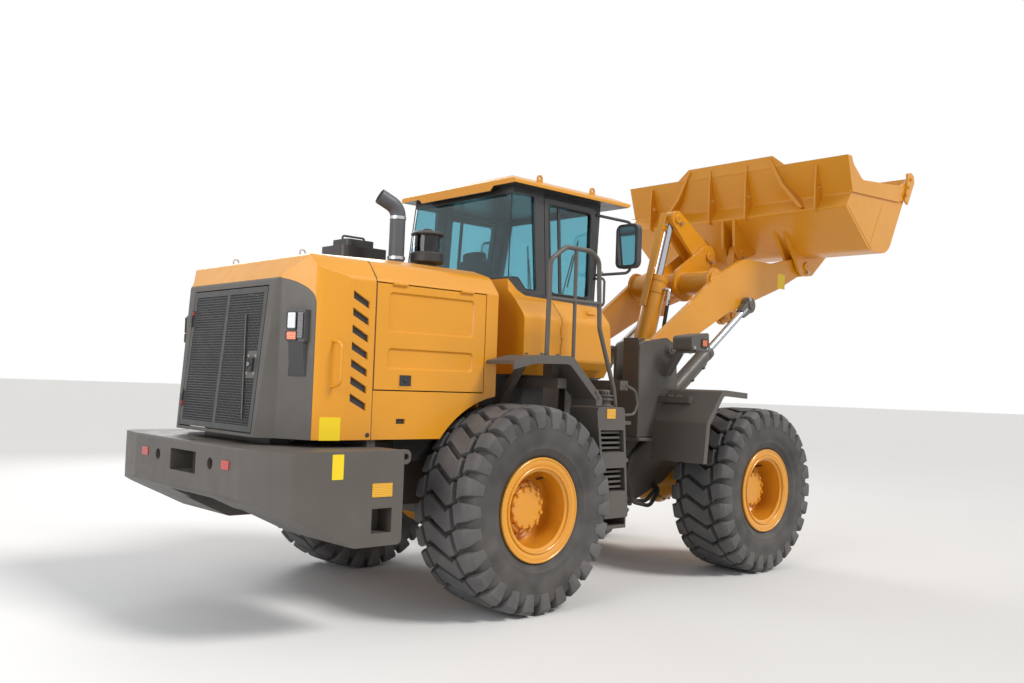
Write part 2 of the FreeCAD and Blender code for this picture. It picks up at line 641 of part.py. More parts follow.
def grille_door(surround):
    slope = HOOD_LEAN / (HOOD_LEAN_TOP - HOOD_BOTTOM)
    top_x = HOOD_REAR + slope * (GRILLE_TOP - HOOD_BOTTOM)
    low_x = HOOD_REAR + slope * (GRILLE_BOTTOM - HOOD_BOTTOM)
    thick = GRILLE_DOOR_THICKNESS
    slab = [(low_x, GRILLE_BOTTOM), (top_x, GRILLE_TOP), (top_x + thick, GRILLE_TOP),
            (low_x + thick, GRILLE_BOTTOM)]
    half = GRILLE_HALF_WIDTH
    border = 42.0
    stile = 20.0
    frame = side_plate(slab, -half, half)
    window = box(low_x - 50, top_x + 100, stile, half - border, GRILLE_BOTTOM + border, GRILLE_TOP - border)
    for cutter in both_sides(window):
        frame = frame.cut(cutter)
    thin = [(x + (8 if i < 2 else -8), z) for i, (x, z) in enumerate(slab)]
    slats = []
    z = GRILLE_BOTTOM + border + 30
    while z + 14 < GRILLE_TOP - border:
        reach = half - border + 2
        layer = box(low_x - 50, top_x + 100, -half, half, z, z + 14)
        slats.append(side_plate(thin, -reach, reach).common(layer))
        z += 56
    door = fused([frame] + slats)
    up = V(top_x - low_x, 0, GRILLE_TOP - GRILLE_BOTTOM)
    for share in (0.2, 0.8):
        place = V(low_x - HINGE_STAND_OFF, half + PANEL_GAP / 2, GRILLE_BOTTOM) + up * share
        surround, door = hinged(place, up, 120, surround, door)
    save("grille_surround", [surround])
    save("grille_door", [door])


def rear_lamps():
    # A pod on each corner facet of the surround with a scoop that fades out below it.
    plan = hood_plan(0)
    corner, end = V(plan[3][0], plan[3][1], 0), V(plan[2][0], plan[2][1], 0)
    along = end.sub(corner).normalize()
    out = V(-along.y, along.x, 0)
    def section(s0, s1, depth, z, slope):
        spots = ((s0, SEAT_GAP), (s0 + slope, depth), (s1 - slope, depth), (s1, SEAT_GAP))
        loop = [corner + along * s + out * h + V(0, 0, z) for s, h in spots]
        return Part.makePolygon(loop + loop[:1])
    pod = Part.makeLoft([section(60, 222, LAMP_POD_DEPTH, 1950, 14),
                         section(60, 222, LAMP_POD_DEPTH, 2165, 14)], True)
    scoop = Part.makeLoft([section(72, 210, 6, 1722, 10), section(72, 210, LAMP_POD_DEPTH - 6, 1951, 14)],
                          True)
    save("rear_lamps", both_sides(fused([pod, scoop])))


def inside_hood():
    save("engine_block", [box(-1500, -450, -350, 350, 1000, 2050)])
    save("radiator", [box(HOOD_REAR + 182, HOOD_REAR + 332, -500, 500, FRAME_TOP, 2280)])


def hood_top():
    z = HOOD_TOP
    x, y = EXHAUST
    tip = V(x - 150, y + 45, 3160)
    knee = V(x, y, 3080)
    pipe = bent_tube([(x, y, z), tuple(knee), tuple(tip)], EXHAUST_RADIUS, 110)
    outlet = tip.sub(knee).normalize()
    pipe = pipe.cut(rod(tip - outlet * 55, tip + outlet * 5, EXHAUST_RADIUS - 5))
    save("exhaust_stack", [fused([pipe, upright(x, y, EXHAUST_RADIUS + 33, z, z + 40)])])
    # Radius and height: neck, filter band, bowl and rain cap
    cleaner = [(0, z), (68, z), (68, z + 67), (136, z + 67), (136, z + 171, 10), (114, z + 171),
               (114, z + 275), (136, z + 275), (136, z + 320, 36), (0, z + 340)]
    save("air_precleaner", [spun(cleaner, *CLEANER)])
    lower = [(-940, 10, 50), (-500, 10, 50), (-500, 360, 50), (-940, 360, 50)]
    upper = [(-870, 60, 40), (-600, 60, 40), (-600, 300, 40), (-870, 300, 40)]
    case = fused([floor_plate(lower, z, z + 180), floor_plate(upper, z + 180, z + 240)])
    grip = bent_tube([(-840, 180, z + 235), (-840, 180, z + 275), (-630, 180, z + 275),
                      (-630, 180, z + 235)], 9, 25)
    save("hood_box", [fused([case, grip])])


def rear_fender():
    low = LADDER_TOP + PANEL_GAP
    top = [(-255, 1895), (-38, 1946, 200), (370, 1956, 120), (728, 1633, 30), (724, low)]
    under = [(700, low), (702, 1625, 30), (358, 1928, 110), (-36, 1918, 200), (-255, 1867)]
    lip = [(655, low), (660, 1610, 30), (340, 1890, 100), (-34, 1880, 200), (-255, 1829)]
    deck = side_plate(top + under, FENDER_INNER, FENDER_OUTER)
    skirt = side_plate(top + lip, FENDER_OUTER - FENDER_LIP, FENDER_OUTER)
    post = box(340, 420, 1000, 1100, CAB_BOTTOM - DECK_THICKNESS, 1940)
    # Cranked arm from the frame plate up the tyre's inner side to the deck, as Y and Z
    arm = cross_plate([(FRAME_HALF_WIDTH, 1195), (768, 1195, 30), (768, 1575, 40), (1040, 1930),
                       (990, 1930), (730, 1600, 40), (730, 1235), (FRAME_HALF_WIDTH, 1235)], 95, 165)
    return fused([deck, skirt, post, arm])


def step_ladder():
    # A closed step case that leans, with two footholds cut into its outer side and a foot step.
    def rear(z):
        return 840 - 140 * (z - LADDER_BOTTOM) / (LADDER_TOP - LADDER_BOTTOM)
    def front(z):
        return 1127 - 84 * (z - LADDER_BOTTOM) / (LADDER_TOP - LADDER_BOTTOM)
    low, high = 650, LADDER_TOP
    case = side_plate([(rear(low), low, 20), (rear(high), high, 40), (front(high), high, 40),
                       (front(low), low, 20)], LADDER_INNER, LADDER_OUTER)
    for z0, z1 in ((870, 1060), (1190, 1370)):
        pocket = side_plate([(rear(z0) + 25, z0), (rear(z1) + 25, z1), (front(z1) - 25, z1),
                             (front(z0) - 25, z0)], LADDER_INNER + 45, LADDER_OUTER + 10)
        case = case.cut(pocket)
    hangers = []
    for x in (rear(low), front(low) - 14):
        hangers.append(box(x, x + 14, LADDER_INNER + 40, LADDER_OUTER - 20, LADDER_BOTTOM, low + 5))
    step = box(rear(low), front(low), LADDER_INNER + 40, LADDER_OUTER - 20, LADDER_BOTTOM,
               LADDER_BOTTOM + 28)
    seat = box(TONGUE_ROOT - 45, TONGUE_ROOT + 25, LADDER_INNER - 10 + SEAT_GAP, LADDER_INNER + 5,
               1175, 1245)
    return fused([case, step, seat] + hangers)


def fenders_ladders_and_rails():
    y = RAIL_Y
    rail = bent_tube([(160, y, 1925), (170, y, 2700), (340, y, 2820), (620, y, 2820), (730, y, 2760),
                      (760, y, 2200), (960, y, 1700), (985, y, LADDER_TOP - 15)], 19, 90)
    bar = rod(V(166, y, 2400), V(748, y, 2400), 15)
    mid = rod(V(459, y, 1850), V(459, y, 2820), 15)
    fender = rear_fender()
    ladder = step_ladder()
    ahead = CAB_FRONT - 12
    grip = bent_tube([(ahead - 8, 600, 2690), (ahead, 790, 2690), (ahead, 790, 2440),
                      (ahead - 38, 620, 2440)], 11, 40)
    grip = grip.cut(cab_form(CAB_WALL + DOOR_REST_GAP, 0))
    save("rear_fenders", both_sides(fender))
    save("step_ladders", both_sides(ladder))
    save("handrails", both_sides(fused([rail, bar, mid]).cut(fender).cut(ladder)) + both_sides(grip))


def cab_section(inset, cap):
    # Outline seen from behind. cap moves the roof line and the floor, inset moves the sides.
    half = CAB_HALF_WIDTH - inset
    bulge = CAB_BULGE - inset
    left = [(half - 60, CAB_EAVES - cap), (half, CAB_SILL + 40), (half + 90, CAB_SILL - 40, 60),
            (bulge, CAB_SILL - 180, 100), (bulge, CAB_BOTTOM + 130, 60), (bulge - 90, CAB_BOTTOM + cap)]
    return left + mirrored(left)


def cab_form(inset, cap):
    front_top = CAB_FRONT + 90 - cap
    body = cross_plate(cab_section(inset, cap), CAB_REAR + cap, front_top)
    side = [(CAB_REAR + cap, CAB_BOTTOM), (CAB_REAR + cap, CAB_SILL + 140),
            (CAB_REAR + 70 + cap, CAB_EAVES), (front_top, CAB_EAVES),
            (CAB_FRONT - 40 - cap, CAB_SILL - 100), (CAB_FRONT - cap, CAB_BOTTOM)]
    beyond = CAB_BULGE + 100
    return body.common(side_plate(side, -beyond, beyond))


def door_outline(shrink):
    low = CAB_BOTTOM + 60 + shrink
    high = DOOR_TOP - shrink
    rear = DOOR_REAR + shrink
    front = DOOR_FRONT - shrink
    return [(rear, low), (rear, high), (front + 70, high), (front, CAB_SILL - 10), (front, low)]


def cab():
    lap = CAB_WALL + DOOR_REST_GAP
    pillar = DOOR_REAR - PANEL_GAP
    beyond = CAB_BULGE + 70
    def between(x0, x1):
        return box(x0, x1, -beyond, beyond, CAB_BOTTOM - 100, ROOF_TOP)
    # Behind the door the walls are flush with it, and ahead they lie under it
    rear = cab_form(0, 0).cut(cab_form(CAB_WALL, CAB_WALL)).common(between(0, pillar))
    front = cab_form(lap, 0).cut(cab_form(lap + CAB_WALL, CAB_WALL)).common(between(pillar, ROOF_FRONT))
    post = cab_form(0, 0).cut(cab_form(lap + CAB_WALL, CAB_WALL)).common(between(pillar - 25, pillar))
    body = fused([rear, front, post])
    leaves = cab_form(0, 0).cut(cab_form(CAB_WALL, 0))
    panes = cab_form(GLASS_INSET, GLASS_INSET).cut(cab_form(GLASS_INSET + GLASS, GLASS_INSET + GLASS))
    window = [(DOOR_REAR + 60, CAB_SILL + 50), (DOOR_REAR + 55, GLASS_TOP - 40),
              (DOOR_FRONT + 15, GLASS_TOP - 40), (DOOR_FRONT - 50, CAB_SILL + 50)]
    for side, name in ((1, "left"), (-1, "right")):
        y0, y1 = sorted((side * (CAB_HALF_WIDTH - 220), side * beyond))
        leaf = leaves.common(side_plate(door_outline(0), y0, y1))
        opening = side_plate(window, y0, y1)
        leaf = leaf.cut(opening)
        doorway = side_plate(door_outline(DOOR_LAP), y0, y1)
        body = body.cut(doorway.common(between(pillar, ROOF_FRONT)))
        for z in (CAB_BOTTOM + 210, CAB_BOTTOM + 365):
            place = V(DOOR_REAR - PANEL_GAP / 2, side * (CAB_BULGE + HINGE_STAND_OFF), z)
            body, leaf = hinged(place, V(0, 0, 1), 110, body, leaf)
        save("cab_door_" + name, [leaf])
        save("door_glass_" + name, [panes.common(opening)])
    # The rear pane wraps round both corners without pillars
    wrap = side_plate([(CAB_REAR - 80, CAB_SILL + 150), (300, CAB_SILL + 150), (380, CAB_SILL + 60),
                       (505, CAB_SILL + 60), (495, GLASS_TOP), (CAB_REAR - 80, GLASS_TOP)], -beyond, beyond)
    half = CAB_HALF_WIDTH - 130
    shield = [(-half, CAB_SILL - 30), (half, CAB_SILL - 30), (half - 50, GLASS_TOP - 20),
              (50 - half, GLASS_TOP - 20)]
    ahead = cross_plate(shield, CAB_FRONT - 140, CAB_FRONT + 200)
    save("cab_glass", [panes.common(wrap), panes.common(ahead)])
    save("cab_body", [body.cut(wrap).cut(ahead)])


def cab_roof():
    edge = ROOF_TOP - 50
    side = [(ROOF_REAR, CAB_EAVES), (ROOF_REAR, edge, 20), (ROOF_REAR + 100, ROOF_TOP, 60),
            (ROOF_FRONT - 175, ROOF_TOP, 200), (ROOF_FRONT, edge + 8, 20), (ROOF_FRONT - 55, CAB_EAVES)]
    half = ROOF_HALF_WIDTH
    cap = side_plate(side, -half, half)
    section = [(half, CAB_EAVES), (half, edge - 10, 20), (half - 140, ROOF_TOP, 120)]
    cap = cap.common(cross_plate(section + mirrored(section), ROOF_REAR - 10, ROOF_FRONT + 10))
    # Hanging rear fascia, and the four lifting eyes
    fascia = [(-510, CAB_EAVES + 1), (510, CAB_EAVES + 1), (470, CAB_EAVES - 38), (-470, CAB_EAVES - 38)]
    shapes = [cap, cross_plate(fascia, ROOF_REAR, ROOF_REAR + 24)]
    for x in (540, 1200):
        eye = side_plate([(x - 34, edge), (x - 30, ROOF_TOP + 38, 28), (x + 30, ROOF_TOP + 38, 28),
                          (x + 34, edge)], half - 100, half - 88)
        shapes += both_sides(eye.cut(across((x, ROOF_TOP + 12), 13, half - 101, half - 87)))
    save("cab_roof", [fused(shapes)])


def cab_inside():
    floor = CAB_BOTTOM + CAB_WALL
    base = box(480, 820, -200, 200, floor, floor + 280)
    cushion = box(460, 930, -240, 240, floor + 280, floor + 420)
    back = side_plate([(430, floor + 330), (540, floor + 330), (470, floor + 1050, 45),
                       (370, floor + 1050, 45)], -230, 230)
    save("seat", [fused([base, cushion, back])])
    hub = V(1010, 0, floor + 640)
    column = rod(V(1130, 0, floor + 30), hub, 45)
    foot = box(1060, 1200, -90, 90, floor, floor + 60)
    wheel_axis = V(-120, 0, 640).normalize()
    disc = Part.makeTorus(190, 16, hub, wheel_axis)
    spoke = rod(hub - V(0, 185, 0), hub + V(0, 185, 0), 12)
    save("steering_console", [fused([column, foot, disc, spoke])])


def mirrors():
    x = CAB_FRONT + 180
    arm = bent_tube([(CAB_FRONT - 20, 600, 3285), (x, 925, 3200), (x, 925, 2750),
                     (CAB_FRONT + 30, 620, 2730)], 13, 60)
    head = cross_plate([(800, 2785, 60), (1050, 2785, 60), (1050, 3180, 60), (800, 3180, 60)], x - 65, x - 5)
    cab_wall = cab_form(CAB_WALL + DOOR_REST_GAP, 0)
    save("mirrors", both_sides(fused([arm, head]).cut(cab_wall)))


def tower(bottom, outline):
    # Both tower plates share their upper outline.
    top = [(TOWER_REAR, 2150, 90), (-800, 2218, 60), (-650, 2150, 70), (-610, 1600, 100)]
    return [(TOWER_REAR, bottom)] + top + outline


def front_chassis():
    wide = TOWER_INNER
    inner_outline = tower(FRAME_BOTTOM, [
        (-430, DECK_Z, 60), (CHASSIS_FRONT, DECK_Z - 10, 60), (CHASSIS_FRONT, 1100, 60),
        (200, ARCH_TOP - 15), (-200, ARCH_TOP - 15), (-450, 800, 80),
        (FRONT_BULKHEAD + 20, FRAME_BOTTOM, 60)])
    outer_outline = tower(1250, [(-650, 1300, 60), (-800, 1250, 60)])
    shapes = both_sides(side_plate(inner_outline, wide, wide + TOWER_PLATE))
    shapes += both_sides(side_plate(outer_outline, TOWER_OUTER - TOWER_PLATE, TOWER_OUTER))
    shapes += both_sides(box(TOWER_REAR, TOWER_REAR + 30, wide, TOWER_OUTER, 1250, 1800))
    shapes += both_sides(box(TOWER_REAR, -790, wide, TOWER_OUTER, 1250, 1280))
    for pin in (BOOM_PIN, LIFT_PIN):
        shapes += both_sides(across(pin, PIN_RADIUS, wide - 10, TOWER_OUTER + 10))
        shapes += both_sides(across(pin, PIN_RADIUS + 30, TOWER_OUTER - 5, TOWER_OUTER + 8))
    # Cross members: x0, x1, z0, z1
    members = [(FRONT_BULKHEAD, FRONT_BULKHEAD + 30, FRAME_BOTTOM, DECK_Z),
               (CHASSIS_FRONT - 30, CHASSIS_FRONT, 1100, DECK_Z - 10),
               (FRONT_BULKHEAD + 10, -150, DECK_Z - 30, DECK_Z - 5),
               (TOWER_REAR, TOWER_REAR + 30, 1400, 1750)]
    for x0, x1, z0, z1 in members:
        shapes.append(box(x0, x1, -wide, wide, z0, z1))
    axle_top = TYRE_RADIUS + AXLE_TUBE_RADIUS + SEAT_GAP
    shapes += both_sides(box(-90, 90, wide - 85, wide + TOWER_PLATE, axle_top, ARCH_TOP + 15))
    # Clevis plates either side of the rear frame's tongues
    eye = HINGE_EYE_RADIUS
    half_plan = [(FRONT_BULKHEAD + 20, wide), (PIVOT_BEHIND + 425, wide, 100),
                 (PIVOT_BEHIND - 10, eye + 5, 100), (PIVOT_BEHIND - eye, 0, 80)]
    plan = half_plan + mirrored_plan(half_plan[:-1])
    for z in (UPPER_TONGUE_Z, LOWER_TONGUE_Z):
        for z0 in (z - CLEVIS_GAP - TONGUE_THICKNESS, z + TONGUE_THICKNESS + CLEVIS_GAP):
            shapes.append(floor_plate(plan, z0, z0 + TONGUE_THICKNESS))
        shapes.append(upright(PIVOT_BEHIND, 0, HINGE_PIN_RADIUS, z - CLEVIS_GAP - TONGUE_THICKNESS - 10,
                              z + 2 * TONGUE_THICKNESS + CLEVIS_GAP + 10))
    # Tilt cylinder lugs on a raised block
    x = TILT_PIN[0]
    shapes.append(box(x - 210, x + 210, -150, 150, DECK_Z - 10, 1480))
    lug = eye_plate([TILT_PIN, (x, 1500)], [75, 110], LINK_HALF_WIDTH + 21, LINK_HALF_WIDTH + 61)
    shapes += both_sides(lug) + [across(TILT_PIN, PIN_RADIUS, -115, 115)]
    for sign in (1, -1):
        shapes += steering_lug(PIVOT_BEHIND + STEER_EYE[0], sign * STEER_EYE[1], FRONT_BULKHEAD + 15)
    save("front_chassis", [fused(shapes)], WHEELBASE)


def front_fenders():
    top = [(-1045, 1068), (-1005, 1430, 60), (-770, 1735, 80), (-375, 1712)]
    under = [(-376, 1686), (-759, 1708, 70), (-979, 1422, 50), (-1018, 1068)]
    lip = [(-377, 1660), (-748, 1680, 60), (-955, 1412, 40), (-992, 1068)]
    shell = side_plate(top + under, 780, 1380)
    skirt = side_plate(top + lip, 1362, 1380)
    bracket = box(-900, -820, TOWER_OUTER, 1100, 1600, 1660)
    save("front_fenders", both_sides(fused([shell, skirt, bracket])), WHEELBASE)


def front_lamps():
    housing = side_plate([(-900, 2100, 20), (-912, 2225, 40), (-640, 2268, 25), (-628, 2082, 20)], 900, 1115)
    housing = housing.cut(cross_plate([(918, 2104, 20), (1097, 2104, 20), (1097, 2246, 20), (918, 2246, 20)],
                                      -648, -600))
    # Cranked strap from the tower's outer plate to the lamp, as Y and Z
    strap = cross_plate([(TOWER_OUTER, 1850), (TOWER_OUTER + 30, 1850, 20), (925, 2070, 30), (1060, 2070),
                         (1060, 2105), (905, 2105, 30), (TOWER_OUTER + 20, 1930, 20), (TOWER_OUTER, 1930)],
                        -850, -760)
    save("front_lamps", both_sides(fused([housing, strap])), WHEELBASE)


def boom():
    outline = [(-860, 2120, 100), (-790, 2215, 40), (-260, 2580, 900), (250, 2950, 700), (720, 3165, 300),
               (1250, 3170, 500), (1810, 3300, 60), (1975, 3270, 80), (1980, 3130, 90), (1810, 3085, 100),
               (1380, 2890, 300), (420, 2550, 300), (-650, 2010, 120), (-760, 1985, 90)]
    half = ARM_THICKNESS / 2
    y0, y1 = ARM_Y - half, ARM_Y + half
    arm = side_plate(outline, y0, y1)
    lobe = eye_plate([LIFT_EYE, (LIFT_EYE[0] + 8, LIFT_EYE[1] + 200)], [85, 140], y0, y1)
    boss = across(LIFT_EYE, 66, y1 - 1, y1 + SIDE_GAP)
    foot = across(BOOM_PIN, 112, TOWER_INNER + TOWER_PLATE + SIDE_GAP, TOWER_OUTER - TOWER_PLATE - SIDE_GAP)
    tip = across(BUCKET_PIN, 92, ARM_Y - 40, ARM_Y + 40)
    arm = arm.fuse(lobe).fuse(boss).fuse(foot).fuse(tip)
    for pin in (BOOM_PIN, BUCKET_PIN):
        arm = arm.cut(across(pin, PIN_RADIUS + RUN_GAP, ARM_Y - 260, ARM_Y + 240))
    shapes = both_sides(arm) + [across(CROSS_TUBE, CROSS_TUBE_RADIUS, -ARM_Y, ARM_Y)]
    shapes += both_sides(across(CROSS_TUBE, CROSS_TUBE_RADIUS + 22, y0 - 26, y0 + 1))
    bracket = eye_plate([CROSS_TUBE, CRANK_PIN], [190, 130], *CRANK_BRACKET)
    shapes += both_sides(bracket)
    shapes.append(across(CRANK_PIN, PIN_RADIUS, -CRANK_BRACKET[1] - 10, CRANK_BRACKET[1] + 10))
    save("boom", [fused(shapes)], WHEELBASE)


def bellcrank():
    inside, outside = CRANK_PLATE
    plate = eye_plate([CRANK_TOP, CRANK_PIN, CRANK_LOW], [92, 150, 100], inside, outside)
    boss = across(CRANK_TOP, PIN_RADIUS + 8, inside, outside + 5)
    shapes = both_sides(plate) + both_sides(boss)
    shapes.append(across(CRANK_PIN, 120, -inside - 1, inside + 1))
    shapes.append(across(CRANK_LOW, PIN_RADIUS, -outside - 5, outside + 5))
    body = fused(shapes).cut(across(CRANK_PIN, PIN_RADIUS + RUN_GAP, -2 * outside, 2 * outside))
    save("bellcrank", [body], WHEELBASE)


def link():
    bar = eye_plate([CRANK_LOW, LINK_PIN], [80, 80], -LINK_HALF_WIDTH, LINK_HALF_WIDTH)
    hole = across(CRANK_LOW, PIN_RADIUS + RUN_GAP, -2 * LINK_HALF_WIDTH, 2 * LINK_HALF_WIDTH)
    save("link", [bar.cut(hole)], WHEELBASE)


def bucket_inside():
    # The space in the bucket, from the lip down the back, over the floor and out past the tip.
    back, wall = BUCKET_BACK_X, BUCKET_WALL
    heel_x, heel_z = BUCKET_HEEL
    run = V(BUCKET_TIP[0] - heel_x, BUCKET_TIP[1] - heel_z, 0)
    over = V(run.x * 1.6, run.y * 1.6, 0)
    return [(back + 16, BUCKET_TOP + 100), (back + 150, 3880, 220), (back + 225, 3620, 200),
            (back + 542, heel_z + wall, 150), (heel_x - 17, heel_z + wall, 240),
            (heel_x - 17 + over.x, heel_z + wall + over.y), (back + 16, heel_z + wall + over.y)]


def bucket_rib(y, thickness, top, inside):
    # A tapered rib on the back wall with a hole through it.
    back = BUCKET_BACK_X
    y0, y1 = y - thickness / 2, y + thickness / 2
    rib = side_plate([(back + 22, top), (back - 8, top), (back - 28, top - 180, 80), (back - 28, 3700, 20),
                      (back + 60, 3680), (back + 220, 3880), (back + 90, top - 60)], y0, y1)
    rib = rib.cut(across((back + 34, 3975), 25, y0 - 1, y1 + 1))
    return rib.cut(side_plate(inside, y0 - 1, y1 + 1))


def bucket():
    back = BUCKET_BACK_X
    heel_x, heel_z = BUCKET_HEEL
    tip_x, tip_z = BUCKET_TIP
    outer = [(back, BUCKET_TOP), (back + 120, 3880, 40), (back, 3722, 20), (back + 530, heel_z, 150),
             (heel_x, heel_z, 260), (tip_x, tip_z)]
    inside = bucket_inside()
    full = BUCKET_HALF_WIDTH
    half = full - BUCKET_DOUBLER
    body = side_plate(outer, -half, half).cut(side_plate(inside, BUCKET_SIDE - half, half - BUCKET_SIDE))
    # Upper edge of a side plate, and the band under it that has a second plate on its outside
    notch = [(back + 60, BUCKET_TOP + 130), (back + 110, 4200, 150), (back + 335, 4050, 120),
             (tip_x - 230, tip_z - 119, 60), (tip_x + 20, tip_z + 32), (tip_x + 20, BUCKET_TOP + 130)]
    band = [(back - 10, 3884), (tip_x - 297, 3944), (tip_x - 150, 3990), (tip_x + 20, tip_z - 60),
            (tip_x + 20, BUCKET_TOP + 130), (back - 10, BUCKET_TOP + 130)]
    doubler = side_plate(outer, half - 1, full).common(side_plate(band, half - 1, full))
    shapes = [body] + both_sides(doubler)
    cutters = both_sides(side_plate(notch, half - BUCKET_SIDE - 1, full + 10))
    # Cutting edge along the underside of the floor's front
    run = V(tip_x - heel_x, tip_z - heel_z, 0)
    length = run.Length
    run.normalize()
    down = V(run.y, -run.x, 0) * 25
    spots = [(length - 240, 0), (length, 0), (length - 45, 1), (length - 250, 1)]
    edge = [V(heel_x, heel_z, 0) + run * s + down * depth for s, depth in spots]
    shapes.append(side_plate([(p.x, p.y) for p in edge], -half, half))
    # Spill guard and its slanting struts, as Y and Z
    guard = [(half * 0.51, BUCKET_TOP - 18), (half * 0.39, BUCKET_TOP + 120)]
    shapes.append(cross_plate(guard + mirrored(guard), back, back + BUCKET_WALL))
    strut = cross_plate([(half * 0.36, BUCKET_TOP + 84), (half * 0.385, BUCKET_TOP + 84),
                         (half * 0.5, 4046, 20), (half * 0.665, 3760), (half * 0.63, 3760),
                         (half * 0.47, 4036, 20)], back - 20, back + 160)
    strut = strut.cut(side_plate(inside, -full, full)).cut(box(back + BUCKET_WALL, back + 200, -full, full,
                                                               BUCKET_TOP, BUCKET_TOP + 200))
    shapes += both_sides(strut)
    # Ribs: share of the half width, top
    for share, top in ((0.168, BUCKET_TOP + 62), (0.765, BUCKET_TOP - 62)):
        shapes += both_sides(bucket_rib(half * share, 20, top, inside))
    # Pairs of hinge ears for the arms, and of ears for the link
    ear_gap = 40 + SIDE_GAP
    for y in (ARM_Y - ear_gap - 35, ARM_Y + ear_gap):
        ear = side_plate([(back + 150, 3640), (back + 520, 3140, 60), (back + 660, 3088, 90),
                          (back + 800, 3110, 70), (back + 1150, 3390)], y, y + 35)
        shapes += both_sides(ear.cut(side_plate(inside, y - 1, y + 36)))
    shapes += both_sides(across(BUCKET_PIN, PIN_RADIUS, ARM_Y - ear_gap - 45, ARM_Y + ear_gap + 45))
    ear_y = LINK_HALF_WIDTH + 16
    ear = side_plate([(back + 5, 3740), (back + 30, 3400, 80), (back + 130, 3270, 80),
                      (back + 270, 3290, 60), (back + 490, 3380)], ear_y, ear_y + 35)
    shapes += both_sides(ear.cut(side_plate(inside, ear_y - 1, ear_y + 36)))
    whole = fused(shapes)
    for cutter in cutters:
        whole = whole.cut(cutter)
    save("bucket", [whole], WHEELBASE)


def cylinder(base, eye, radii, barrel_length, half_width, lateral, rod_start, pin):
    # radii: barrel, rod, base eye and rod eye. lateral is the direction of the pins.
    barrel_r, rod_r, base_r, eye_r = radii
    along = eye.sub(base).normalize()
    shift = lateral * half_width
    base_eye = rod(base - shift, base + shift, base_r)
    neck = rod(base, base + along * (base_r + 30), min(half_width, barrel_r) - 4)
    tube = rod(base + along * (base_r + 20), base + along * barrel_length, barrel_r)
    gland = rod(base + along * (barrel_length - 60), base + along * barrel_length, barrel_r + 4)
    barrel = fused([base_eye, neck, tube, gland])
    barrel = barrel.cut(rod(base - shift * 2, base + shift * 2, pin + RUN_GAP))
    start = base + along * (base_r + 60)
    barrel = barrel.cut(rod(start, base + along * (barrel_length + 10), rod_r + RUN_GAP))
    rod_eye = rod(eye - shift, eye + shift, eye_r)
    return barrel, fused([rod(base + along * rod_start, eye, rod_r), rod_eye])


def position_bar(base, eye):
    # A flat bar behind the tilt cylinder, held by a bracket near the rod's eye.
    along = eye.sub(base).normalize()
    back = V(-along.z, 0, along.x)
    def slab(s0, s1, h0, h1, half):
        loop = [eye + along * s + back * h for s, h in ((s0, h0), (s1, h0), (s1, h1), (s0, h1))]
        return side_plate([(p.x, p.z) for p in loop], -half, half)
    bar = slab(-1060, 20, POSITION_BAR_OFFSET, POSITION_BAR_OFFSET + 14, 40)
    bracket = slab(-160, -100, 0, POSITION_BAR_OFFSET + 1, 18)
    return [bar, bracket]


def cylinders():
    y_axis = V(0, 1, 0)
    base = V(TILT_PIN[0], 0, TILT_PIN[1])
    eye = V(CRANK_TOP[0], 0, CRANK_TOP[1])
    barrel, piston = cylinder(base, eye, (TILT_BARREL_RADIUS, TILT_ROD_RADIUS, 90, 88), 1270,
                              LINK_HALF_WIDTH, y_axis, 720, PIN_RADIUS)
    save("tilt_barrel", [barrel], WHEELBASE)
    save("tilt_rod", [fused([piston] + position_bar(base, eye))], WHEELBASE)
    barrels, rods = [], []
    for side in (1, -1):
        base = V(LIFT_PIN[0], side * LIFT_Y, LIFT_PIN[1])
        eye = V(LIFT_EYE[0], side * LIFT_Y, LIFT_EYE[1])
        barrel, piston = cylinder(base, eye, (LIFT_BARREL_RADIUS, LIFT_ROD_RADIUS, 90, 80), 1000,
                                  LIFT_EYE_HALF, y_axis, 700, PIN_RADIUS)
        barrels.append(barrel)
        rods.append(piston)
    save("lift_barrels", barrels, WHEELBASE)
    save("lift_rods", rods, WHEELBASE)
    for side, name in ((1, "left"), (-1, "right")):
        base = V(PIVOT_X + STEER_BASE[0], side * STEER_BASE[1], STEER_Z)
        eye = V(PIVOT_X + STEER_EYE[0], side * STEER_EYE[1], STEER_Z)
        barrel, piston = cylinder(base, eye, (48, 24, 45, 42), 560, 34, V(0, 0, 1), 310, STEER_PIN_RADIUS)
        save("steering_barrel_" + name, [barrel])
        save("steering_rod_" + name, [piston])


def main():
    os.makedirs("parts", exist_ok=True)
    solid_tyre = tyre()
    for place, x in (("rear", 0.0), ("front", WHEELBASE)):
        for name, side in (("left", 1), ("right", -1)):
            wheel(place + "_" + name, x, side, solid_tyre)
    axle("rear_axle", 0.0, TRUNNION_X + 20, TRUNNION_X + 60)
    axle("front_axle", WHEELBASE, TRUNNION_X + 20, FRONT_NOSE)
    rear_chassis()
    cab_platform()
    counterweight()
    hood()
    rear_lamps()
    inside_hood()
    hood_top()
    fenders_ladders_and_rails()
    cab()
    cab_roof()
    cab_inside()
    mirrors()
    front_chassis()
    front_fenders()
    front_lamps()
    boom()
    bellcrank()
    link()
    bucket()
    cylinders()


main()
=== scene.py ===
import json
import math

import bmesh
import bpy
from mathutils import Matrix, Vector


